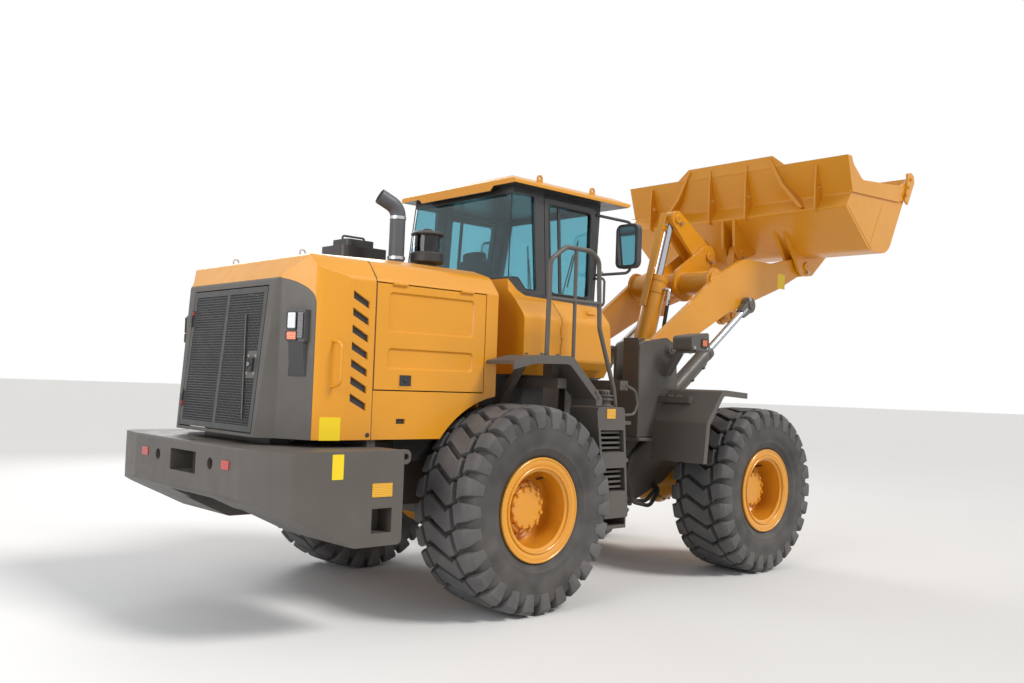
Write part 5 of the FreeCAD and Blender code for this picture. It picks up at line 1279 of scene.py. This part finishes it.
class LOADER_OT_seat(bpy.types.Operator):
    """Driver's seat: padded cushion, back and head rest on a rubber bellows"""
    bl_idname = "loader.seat"
    bl_label = "Seat"

    def execute(self, context):
        # Name, middle, size, lean and swell of each pad
        for name, middle, size, turn, crown in (
                ("seat_cushion", (0.700, 0, 2.185), (0.46, 0.46, 0.12), 0.06, 0.25),
                ("seat_back", (0.465, 0, 2.520), (0.13, 0.44, 0.58), 0.13, 0.05),
                ("seat_head_rest", (0.428, 0, 2.815), (0.09, 0.26, 0.12), 0.13, 0.10)):
            pad = bmesh.new()
            cushion(pad, at(*middle), size, -turn, crown)
            piece = add_piece(name, pad, finish_named("seat_cover"), "rear_frame")
            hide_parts("seat")
        base = bmesh.new()
        for z0, z1, grow in ((1.840, 1.870, 0.02), (1.870, 1.920, -0.02), (1.920, 1.970, 0.0),
                             (1.970, 2.020, -0.02), (2.020, 2.125, 0.02)):
            prism(base, cornered(at(0.650, 0, z0), (Vector((1, 0, 0)), Vector((0, 1, 0))), 0.32 + grow,
                                 0.36 + grow, 0.05), (0, 0, z1 - z0))
        piece = add_piece("seat_base", base, finish_named("black_plastic"), "rear_frame", bevel=0.006)
        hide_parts("seat")
        return {"FINISHED"}


# Keepers at pin ends: name, body, pin, outer face, side of the pin, both sides
PIN_ENDS = (
    ("boom_pin", "front_frame", (2.300, 2.100), 0.754, (0.62, -0.78)),
    ("lift_pin", "front_frame", (2.262, 1.535), 0.754, (0.55, -0.83)),
    ("lift_eye", "lift_rods", (3.792, 2.660), 0.666, (-0.60, 0.80)),
    ("bucket_pin", "bucket", (4.930, 3.205), 0.650, (0.30, -0.95)),
    ("crank_pin", "boom", (3.730, 3.210), 0.150, (0.70, -0.72)),
    ("crank_top", "bellcrank", (3.220, 3.570), 0.095, (0.82, -0.57)),
    ("crank_low", "bellcrank", (4.300, 2.600), 0.095, (-0.68, 0.73)),
    ("link_pin", "bucket", (4.450, 3.360), 0.095, (0.20, -0.98)),
    ("tilt_pin", "front_frame", (2.650, 1.700), 0.115, (0.00, -1.00)),
)


class LOADER_OT_pins(bpy.types.Operator):
    """Pin ends with their keeper plates, bolts and grease nipples"""
    bl_idname = "loader.pins"
    bl_label = "Pin ends"

    def execute(self, context):
        for name, body, (x, z), y, (u, w) in PIN_ENDS:
            keepers = bmesh.new()
            nipples = bmesh.new()
            heads = []
            for side, sign in SIDES:
                centre = at(x, sign * y, z)
                away = Vector((u, 0, w))
                turned(keepers, [(0, -0.002), (0.047, -0.002), (0.047, 0.009), (0.042, 0.013), (0.018, 0.013),
                                 (0.015, 0.009), (0, 0.009)], centre, (0, sign, 0), 40)
                facing = (away.cross(Vector((0, sign, 0))) * -1, away)
                middle = centre + away * 0.045
                plate(keepers, middle, facing, 0.046, 0.100, 0.008, 0.020)
                heads += [(middle + away * 0.030 + Vector((0, sign * 0.008, 0)), (0, sign, 0))]
                rod(nipples, centre + Vector((0, sign * 0.008, 0)), centre + Vector((0, sign * 0.024, 0)), 0.006,
                    12, 0.004)
            finish = "yellow_paint" if body in ("boom", "bucket", "bellcrank") else "worn_grey"
            add_piece(name + "_keepers", keepers, finish_named(finish), body, bevel=0.001)
            add_piece(name + "_nipples", nipples, finish_named("zinc"), body)
            bolts(name + "_bolts", heads, body, 1.1)
        return {"FINISHED"}


def along_line(p, q, s, out=0.0, y=0.0):
    """A place at s metres from pin p towards pin q, pushed out to the rear of the line."""
    p, q = Vector((p[0], 0, p[1])), Vector((q[0], 0, q[1]))
    way = (q - p).normalized()
    place = p + way * s + Vector((-way.z, 0, way.x)) * out
    return at(place.x, y, place.z)


class LOADER_OT_hydraulics(bpy.types.Operator):
    """Gland rings, ports, pipes and hoses of the cylinders"""
    bl_idname = "loader.hydraulics"
    bl_label = "Hydraulics"

    def execute(self, context):
        tilt = ((2.650, 1.700), (3.220, 3.570))
        lift = ((2.262, 1.535), (3.792, 2.660))
        gland = bmesh.new()
        way = (along_line(*tilt, 1.0) - along_line(*tilt, 0.0)).normalized()
        turned(gland, [(0.107, -0.200), (0.113, -0.198), (0.115, -0.150), (0.113, -0.102), (0.107, -0.100)],
               along_line(*tilt, 1.270), way, 48)
        add_piece("tilt_gland", gland, finish_named("yellow_paint"), "tilt_barrel", bevel=0.002)
        heads = []
        side = Vector((0, 1, 0))
        fore = way.cross(side)
        for i in range(8):
            angle = math.tau * (i + 0.5) / 8
            heads.append((along_line(*tilt, 1.270) + (side * math.cos(angle) + fore * math.sin(angle)) * 0.090,
                          tuple(way)))
        bolts("tilt_gland_bolts", heads, "tilt_barrel", 1.0, "yellow_paint")
        hose = bmesh.new()
        rod(hose, along_line(*tilt, 1.130, 0, -0.100), along_line(*tilt, 1.130, 0, -0.150), 0.020)
        tube(hose, [along_line(*tilt, 1.130, 0, -0.140), along_line(*tilt, 1.130, -0.02, -0.175),
                    along_line(*tilt, 0.950, -0.03, -0.180)], 0.019, 0.04)
        add_piece("tilt_hose_elbow", hose, finish_named("zinc"), "tilt_barrel")
        hose = bmesh.new()
        tube(hose, [along_line(*tilt, 1.010, -0.03, -0.180), along_line(*tilt, 0.700, -0.05, -0.185),
                    along_line(*tilt, 0.450, -0.02, -0.150), along_line(*tilt, 0.300, 0.0, -0.112)], 0.020, 0.1)
        tube(hose, [along_line(*tilt, 0.240, 0.100, 0.03), along_line(*tilt, 0.240, 0.150, 0.03),
                    along_line(*tilt, 0.100, 0.160, 0.03)], 0.016, 0.05)
        add_piece("tilt_hoses", hose, finish_named("hose_rubber"), "tilt_barrel")
        bands = bmesh.new()
        for s, out in ((0.980, -0.032), (0.500, -0.030)):
            ring(bands, along_line(*tilt, s, out, -0.181 if s > 0.9 else -0.158), way, 0.021, 0.003, 20)
        add_piece("tilt_hose_bands", bands, finish_named("zinc"), "tilt_barrel")
        pipes = bmesh.new()
        caps = bmesh.new()
        heads = []
        way = (along_line(*lift, 1.0) - along_line(*lift, 0.0)).normalized()
        for name, sign in SIDES:
            y = sign * 0.628
            tube(pipes, [along_line(*lift, 0.190, -0.070, y), along_line(*lift, 0.190, -0.098, y),
                         along_line(*lift, 0.900, -0.098, y), along_line(*lift, 0.940, -0.072, y)], 0.011, 0.03)
            for s in (0.35, 0.62, 0.84):
                plate(caps, along_line(*lift, s, -0.074, y), (way, Vector((0, 1, 0)) * -1), 0.030, 0.050,
                      0.034, 0.004)
            turned(caps, [(0.039, 0.0), (0.060, 0.0), (0.060, 0.006), (0.052, 0.014), (0.040, 0.016)],
                   along_line(*lift, 1.000, 0, y), way, 40)
        add_piece("lift_pipes", pipes, finish_named("worn_grey"), "lift_barrels")
        add_piece("lift_pipe_clips", caps, finish_named("grey_paint"), "lift_barrels", bevel=0.001)
        eyes = bmesh.new()
        for name, sign in SIDES:
            inner = at(3.792, sign * 0.592, 2.660)
            turned(eyes, [(0.046, 0), (0.086, 0), (0.086, 0.068), (0.080, 0.074), (0.046, 0.074)], inner,
                   (0, sign, 0), 40)
            prism(eyes, [along_line(*lift, s, out, sign * 0.593) for s, out in
                         ((1.832, -0.064), (1.832, 0.064), (1.715, 0.046), (1.715, -0.046))],
                  (0, sign * 0.070, 0))
        add_piece("lift_rod_eyes", eyes, finish_named("worn_grey"), "lift_rods", bevel=0.003)
        loops = bmesh.new()
        for y, x, rise in ((-0.12, 1.230, 1.120), (-0.04, 1.220, 1.100), (0.14, 1.230, 1.110)):
            tube(loops, [at(1.025, y, 1.060), at(1.150, y, 1.060), at(x, y - 0.02, rise), at(x, y - 0.06, 0.860),
                         at(1.150, y - 0.02, 0.800), at(1.025, y - 0.02, 0.800)], 0.015, 0.09)
        add_piece("frame_hoses", loops, finish_named("hose_rubber"), "rear_frame")
        loops = bmesh.new()
        for y in (-0.28, -0.22, 0.22, 0.28):
            tube(loops, [at(2.180, y, 1.310), at(2.200, y, 1.480), at(2.330, y * 0.9, 1.620),
                         at(2.420, y * 0.8, 1.420), at(2.430, y * 0.8, 1.300)], 0.015, 0.08)
        for sign in (1, -1):
            for y, grow in ((0.600, 0.0), (0.648, 0.045)):
                tube(loops, [at(2.080, sign * y, 1.215), at(1.930 - grow, sign * y, 1.090),
                             at(1.860 - grow, sign * y, 0.870), at(1.960 - grow, sign * y, 0.660),
                             at(2.180, sign * y, 0.650 - grow), at(2.380, sign * (y - 0.05), 0.740),
                             at(2.520, sign * 0.380, 0.820)], 0.019, 0.14)
        add_piece("tower_hoses", loops, finish_named("hose_rubber"), "front_frame")
        return {"FINISHED"}


def circle_line(centre, axis, radius, steps=40):
    axis = Vector(axis).normalized()
    side = axis.orthogonal().normalized()
    other = axis.cross(side)
    return [centre + (side * math.cos(math.tau * i / steps) + other * math.sin(math.tau * i / steps)) * radius
            for i in range(steps + 1)]


class LOADER_OT_welds(bpy.types.Operator):
    """Weld beads of the boom, the bellcrank and the towers"""
    bl_idname = "loader.welds"
    bl_label = "Welds"

    def execute(self, context):
        lines = []
        for side, sign in SIDES:
            lines += [circle_line(at(3.310, sign * 0.534, 2.870), (0, 1, 0), 0.149),
                      circle_line(at(3.310, sign * 0.508, 2.870), (0, 1, 0), 0.128),
                      circle_line(at(3.310, sign * 0.141, 2.870), (0, 1, 0), 0.127),
                      circle_line(at(4.930, sign * 0.586, 3.205), (0, 1, 0), 0.094)]
        welds("boom_welds", lines, "boom", radius=0.006)
        welds("crank_welds", [circle_line(at(3.730, sign * 0.0495, 3.210), (0, 1, 0), 0.122)
                              for sign in (1, -1)], "bellcrank", radius=0.005)
        lines = []
        for side, sign in SIDES:
            lines += [[at(1.850, sign * 0.7445, z) for z in (1.260, 1.500, 1.790)],
                      [at(x, sign * 0.7445, 1.2810) for x in (1.860, 2.100, 2.250)]]
        welds("tower_welds", lines, "front_frame", "grey_paint", 0.005)
        return {"FINISHED"}


# The bucket's floor from its heel to its tip, and the way out of its underside
HEEL, TIP = Vector((5.226, 0, 3.315)), Vector((5.752, 0, 4.258))
FLOOR_RUN = (TIP - HEEL).normalized()
FLOOR_DOWN = Vector((FLOOR_RUN.z, 0, -FLOOR_RUN.x))


def edge_place(s, down, y):
    place = TIP + FLOOR_RUN * s + FLOOR_DOWN * down
    return at(place.x, y, place.z)


class LOADER_OT_bucket_trim(bpy.types.Operator):
    """Edge bolts, corner pieces and weld beads of the bucket"""
    bl_idname = "loader.bucket_trim"
    bl_label = "Bucket trim"

    def execute(self, context):
        heads = [(edge_place(-0.105, 0.025, -1.35 + 0.225 * i), tuple(FLOOR_DOWN)) for i in range(13)]
        bolts("edge_bolts", heads, "bucket", 1.5, "yellow_paint")
        corners = bmesh.new()
        shape = [(-0.340, 0.050), (-0.020, 0.055), (0.035, 0.010), (0.035, -0.065), (-0.030, -0.135),
                 (-0.110, -0.090), (-0.240, -0.050), (-0.340, -0.035)]
        for side, sign in SIDES:
            prism(corners, [edge_place(s, down, sign * 1.4885) for s, down in shape], (0, sign * 0.0245, 0))
        add_piece("bucket_corners", corners, finish_named("yellow_paint"), "bucket", 0.002)
        heads = [(edge_place(s, -0.045, sign * 1.513), (0, sign, 0)) for s in (-0.27, -0.16, -0.05)
                 for sign in (1, -1)]
        bolts("corner_bolts", heads, "bucket", 1.2, "yellow_paint")
        lines = []
        for side, sign in SIDES:
            y = sign * 1.4765
            lines += [[at(5.094, y, 3.865), at(4.940, y, 3.600), at(4.790, y, 3.336)],
                      [at(4.300, y, 3.740), at(4.550, y, 3.551), at(4.780, y, 3.378), at(4.860, y, 3.330)],
                      [at(4.325, sign * 1.489, 3.890), at(4.900, sign * 1.489, 3.917),
                       at(5.440, sign * 1.489, 3.9435)]]
            for share in (0.168, 0.765):
                for off in (-0.011, 0.011):
                    y = sign * 1.476 * share + off
                    lines.append([at(4.352, y, 3.760), at(4.385, y, 3.880), at(4.330, y, 4.060)])
        welds("bucket_welds", lines, "bucket", radius=0.004)
        return {"FINISHED"}


class LOADER_OT_ladder_trim(bpy.types.Operator):
    """Step bars, brackets and the filler neck of the ladders"""
    bl_idname = "loader.ladder_trim"
    bl_label = "Ladder trim"

    def execute(self, context):
        for side, sign in SIDES:
            for i, (z, x0, x1) in enumerate(((0.895, 0.835, 1.060), (1.215, 0.792, 1.034))):
                bar = bmesh.new()
                block(bar, x0, x1, sign * 1.004, sign * 1.240, z, z + 0.018)
                rows(f"step_bars_{i}_{side}", bar, 1, (0, 0, 0), 4, (-0.0035, 0, 0.042), "grey_paint",
                     "rear_frame")
                tooth = bmesh.new()
                prism(tooth, [at(x0 + 0.004, sign * 1.020, z - 0.025), at(x0 + 0.014, sign * 1.020, z - 0.025),
                              at(x0 + 0.009, sign * 1.020, z - 0.014)], (0, sign * 0.235, 0))
                rows(f"step_teeth_{i}_{side}", tooth, 15, (0.0148, 0, 0), 1, (0, 0, 0), "grey_paint",
                     "rear_frame")
            arms = bmesh.new()
            tube(arms, [at(1.120, sign * 1.215, 1.740), at(1.240, sign * 1.215, 1.700),
                        at(1.270, sign * 1.215, 1.580), at(1.230, sign * 1.215, 1.500),
                        at(1.060, sign * 1.215, 1.490)], 0.011, 0.06)
            for z, x in ((1.410, 1.230), (1.095, 1.210), (0.700, 1.185)):
                block(arms, 1.040, x, sign * 1.120, sign * 1.185, z, z + 0.030)
            add_piece("ladder_brackets_" + side, arms, finish_named("grey_paint"), "rear_frame", bevel=0.003)
            bolts("ladder_bolts_" + side, [(at(1.155, sign * 1.152, z + 0.030), (0, 0, 1))
                                           for z in (1.410, 1.095, 0.700)], "rear_frame", 1.1)
            neck = bmesh.new()
            turned(neck, [(0, 0), (0.088, 0), (0.088, 0.012), (0.062, 0.016), (0.062, 0.050), (0.082, 0.054),
                          (0.082, 0.068), (0.066, 0.072), (0.066, 0.086), (0.084, 0.088), (0.084, 0.098),
                          (0.066, 0.100), (0.066, 0.132), (0.058, 0.140), (0, 0.142)],
                   at(0.925, sign * 1.140, 1.559), UP, 40)
            add_piece("filler_neck_" + side, neck, finish_named("worn_grey"), "rear_frame", bevel=0.001)
            ribs = bmesh.new()
            for i in range(16):
                angle = math.tau * i / 16
                out = Vector((math.cos(angle), math.sin(angle), 0))
                plate(ribs, at(0.925, sign * 1.140, 1.671) + out * 0.066, (Vector((-out.y, out.x, 0)), UP),
                      0.008, 0.026, 0.005, 0.002)
            add_piece("filler_ribs_" + side, ribs, finish_named("black_plastic"), "rear_frame")
        return {"FINISHED"}


class LOADER_OT_frame_trim(bpy.types.Operator):
    """Bolts of the fenders, axles and hood, and the covers at the articulation"""
    bl_idname = "loader.frame_trim"
    bl_label = "Frame trim"

    def execute(self, context):
        rear, front = [], []
        for side, sign in SIDES:
            out = (0, sign, 0)
            rear += [(at(x, sign * y, z), out) for x, y, z in
                     ((0.115, 0.770, 1.45), (0.145, 0.770, 1.45), (0.115, 0.770, 1.28), (0.145, 0.770, 1.28))]
            rear += [(at(x, sign * 1.300, z), out) for x, z in ((0.655, 1.680), (0.685, 1.640))]
            rear += [(at(x, sign * y, 1.956), (0, 0, 1)) for x in (0.10, 0.28) for y in (1.05, 1.22)]
            front += [(at(x, sign * y, 1.660), (0, 0, 1)) for x in (2.17, 2.21) for y in (0.85, 0.95)]
            front += [(at(x, sign * 0.744, z), out) for x, z in
                      ((2.210, 1.870), (2.280, 1.870), (2.210, 1.915), (2.280, 1.915))]
        for end, x, heads in (("rear", 0.0, rear), ("front", WHEELBASE, front)):
            for sign in (1, -1):
                for i in range(16):
                    angle = math.tau * (i + 0.5) / 16
                    heads.append((at(x + 0.205 * math.cos(angle), sign * 0.170, AXLE_Z + 0.205 * math.sin(angle)),
                                  (0, sign, 0)))
        bolts("rear_frame_bolts", rear, "rear_frame", 1.0, "worn_grey")
        bolts("front_frame_bolts", front, "front_frame", 1.0, "worn_grey")
        # Dark rubber sheets at the frame's sides inside the rear wheel arches: painted shade where the arches lie
        # in shade.
        shade_sheets = bmesh.new()
        for side, sign in SIDES:
            prism(shade_sheets, [at(x, sign * 0.700, z) for x, z in
                           ((-0.900, 1.120), (0.640, 1.120), (0.640, 1.790), (-0.900, 1.790))],
                  (0, sign * 0.006, 0))
        add_piece("arch_shade_sheets", shade_sheets, finish_named("hose_rubber"), "rear_frame", bevel=0.001)
        backs = bmesh.new()
        for side, sign in SIDES:
            prism(backs, [at(1.849, sign * y, z) for y, z in
                          ((0.550, 1.262), (0.742, 1.262), (0.742, 2.170), (0.715, 2.196), (0.550, 2.196))],
                  (-0.006, 0, 0))
        add_piece("tower_backs", backs, finish_named("grey_paint"), "front_frame", bevel=0.002)
        feet = bmesh.new()
        for side, sign in SIDES:
            prism(feet, [at(x, sign * y, 1.236) for x, y in
                         ((1.825, 0.550), (1.825, 0.700), (1.850, 0.765), (1.900, 0.790), (2.120, 0.790),
                          (2.160, 0.755), (2.160, 0.550))], (0, 0, 0.024))
        add_piece("tower_feet", feet, finish_named("grey_paint"), "front_frame", bevel=0.003)
        covers = bmesh.new()
        for z in (1.256, 0.560):
            turned(covers, [(0, 0), (0.070, 0), (0.070, 0.012), (0.050, 0.022), (0, 0.024)],
                   at(1.525, 0, z + 0.065), UP, 32)
        add_piece("pivot_covers", covers, finish_named("worn_grey"), "front_frame")
        return {"FINISHED"}


class LOADER_OT_stage(bpy.types.Operator):
    """Floor, soft lamps, world and camera"""
    bl_idname = "loader.stage"
    bl_label = "Stage"

    def execute(self, context):
        settings = context.scene.loader_stage
        scene = context.scene
        scene.view_settings.view_transform = "Standard"
        bm = bmesh.new()
        reach = 150.0
        bm.faces.new([bm.verts.new((reach * math.cos(a), reach * math.sin(a), 0))
                      for a in (math.tau * i / 64 for i in range(64))])
        mesh = bpy.data.meshes.new("floor")
        bm.to_mesh(mesh)
        bm.free()
        floor = bpy.data.objects.new("floor", mesh)
        scene.collection.objects.link(floor)
        mesh.materials.append(self.floor_finish(tuple(settings.floor)))
        self.lamps(scene, settings)
        self.camera(scene)
        return {"FINISHED"}

    def floor_finish(self, color):
        """Pale floor with a faint cloudy tone."""
        material, tree, shader = new_material("studio_floor", Roughness=0.8)
        tone = blended(tree, spread(tree, noise(tree, 0.6, 3.0), 0.3, 0.7),
                       tuple(c * 0.985 for c in color) + (1,), color + (1,))
        tree.links.new(tone, shader.inputs["Base Color"])
        return material

    def lamps(self, scene, settings):
        world = bpy.data.worlds.new("studio")
        world.use_nodes = True
        tree = world.node_tree
        sky = tree.nodes["Background"]
        sky.inputs["Color"].default_value = (0.96, 0.98, 1.0, 1)
        sky.inputs["Strength"].default_value = 0.42
        bright = tree.nodes.new("ShaderNodeBackground")
        bright.inputs["Color"].default_value = (1.0, 1.0, 1.0, 1)
        mix = tree.nodes.new("ShaderNodeMixShader")
        path = tree.nodes.new("ShaderNodeLightPath")
        seen = math_node(tree, "MAXIMUM", path.outputs["Is Camera Ray"], path.outputs["Is Transmission Ray"])
        seen = math_node(tree, "MAXIMUM", seen, path.outputs["Is Glossy Ray"])
        tree.links.new(seen, mix.inputs[0])
        tree.links.new(sky.outputs[0], mix.inputs[1])
        tree.links.new(bright.outputs[0], mix.inputs[2])
        tree.links.new(mix.outputs[0], tree.nodes["World Output"].inputs["Surface"])
        scene.world = world
        # Lamp: place, size, power, colour
        for name, place, size, power, color in (
                ("fill", (-11.0, -2.0, 5.0), 6.0, settings.fill, (0.95, 0.97, 1.0)),
                ("rim", (2.0, 10.0, 7.0), 6.0, settings.fill, (1.0, 1.0, 1.0))):
            lamp = bpy.data.lights.new(name, "AREA")
            lamp.size = size
            lamp.energy = power
            lamp.color = color
            holder = bpy.data.objects.new(name, lamp)
            holder.location = place
            aim = Vector((0, 0, 1.5)) - Vector(place)
            holder.rotation_euler = aim.to_track_quat("-Z", "Y").to_euler()
            scene.collection.objects.link(holder)
        sun = bpy.data.lights.new("key", "SUN")
        sun.energy = settings.key
        sun.angle = math.radians(18)
        sun.color = (1.0, 0.97, 0.92)
        holder = bpy.data.objects.new("key", sun)
        holder.rotation_euler = Vector((-0.35, 0.75, -0.85)).to_track_quat("-Z", "Y").to_euler()
        scene.collection.objects.link(holder)

    def camera(self, scene):
        forward = Vector((math.cos(CAMERA_PITCH) * math.cos(CAMERA_YAW),
                          math.cos(CAMERA_PITCH) * math.sin(CAMERA_YAW), math.sin(CAMERA_PITCH)))
        level = Vector((math.sin(CAMERA_YAW), -math.cos(CAMERA_YAW), 0))
        top = level.cross(forward)
        right = level * math.cos(CAMERA_ROLL) + top * math.sin(CAMERA_ROLL)
        up = top * math.cos(CAMERA_ROLL) - level * math.sin(CAMERA_ROLL)
        data = bpy.data.cameras.new("camera")
        data.lens = FOCAL_PIXELS / PICTURE_WIDTH * SENSOR_MM
        data.sensor_width = SENSOR_MM
        data.clip_end = 400
        camera = bpy.data.objects.new("camera", data)
        camera.matrix_world = Matrix.Translation(at(*CAMERA_PLACE)) @ Matrix(
            (right, up, -forward)).transposed().to_4x4()
        scene.collection.objects.link(camera)
        scene.camera = camera


class LOADER_PT_panel(bpy.types.Panel):
    """Lists the settings and the steps"""
    bl_idname = "LOADER_PT_panel"
    bl_label = "Wheel loader"
    bl_space_type = "VIEW_3D"
    bl_region_type = "UI"
    bl_category = "Loader"

    def draw(self, context):
        layout = self.layout
        for group in SETTINGS:
            settings = getattr(context.scene, group)
            for prop in settings.bl_rna.properties:
                if not prop.is_readonly and prop.identifier not in ("name", "rna_type"):
                    layout.prop(settings, prop.identifier)
        for step in STEPS:
            layout.operator(step.bl_idname)


SETTINGS = {"loader_paint": PaintSettings, "loader_tyres": TyreSettings, "loader_grille": GrilleSettings,
            "loader_fasteners": FastenerSettings, "loader_stage": StageSettings}
STEPS = (LOADER_OT_stage, LOADER_OT_finishes, LOADER_OT_tyres, LOADER_OT_wheel_hardware,
         LOADER_OT_grille, LOADER_OT_lamps, LOADER_OT_plates,
         LOADER_OT_hood_trim, LOADER_OT_cab_trim, LOADER_OT_seat,
         LOADER_OT_pins, LOADER_OT_hydraulics, LOADER_OT_welds,
         LOADER_OT_bucket_trim, LOADER_OT_ladder_trim, LOADER_OT_frame_trim)
CLASSES = (*SETTINGS.values(), *STEPS, LOADER_PT_panel)


def register():
    for cls in CLASSES:
        bpy.utils.register_class(cls)
    for name, cls in SETTINGS.items():
        setattr(bpy.types.Scene, name, bpy.props.PointerProperty(type=cls))


def unregister():
    for name in SETTINGS:
        delattr(bpy.types.Scene, name)
    for cls in reversed(CLASSES):
        bpy.utils.unregister_class(cls)


def main():
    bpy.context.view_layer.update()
    register()
    for step in STEPS:
        group, name = step.bl_idname.split(".")
        getattr(getattr(bpy.ops, group), name)()


if __name__ == "__main__":
    main()
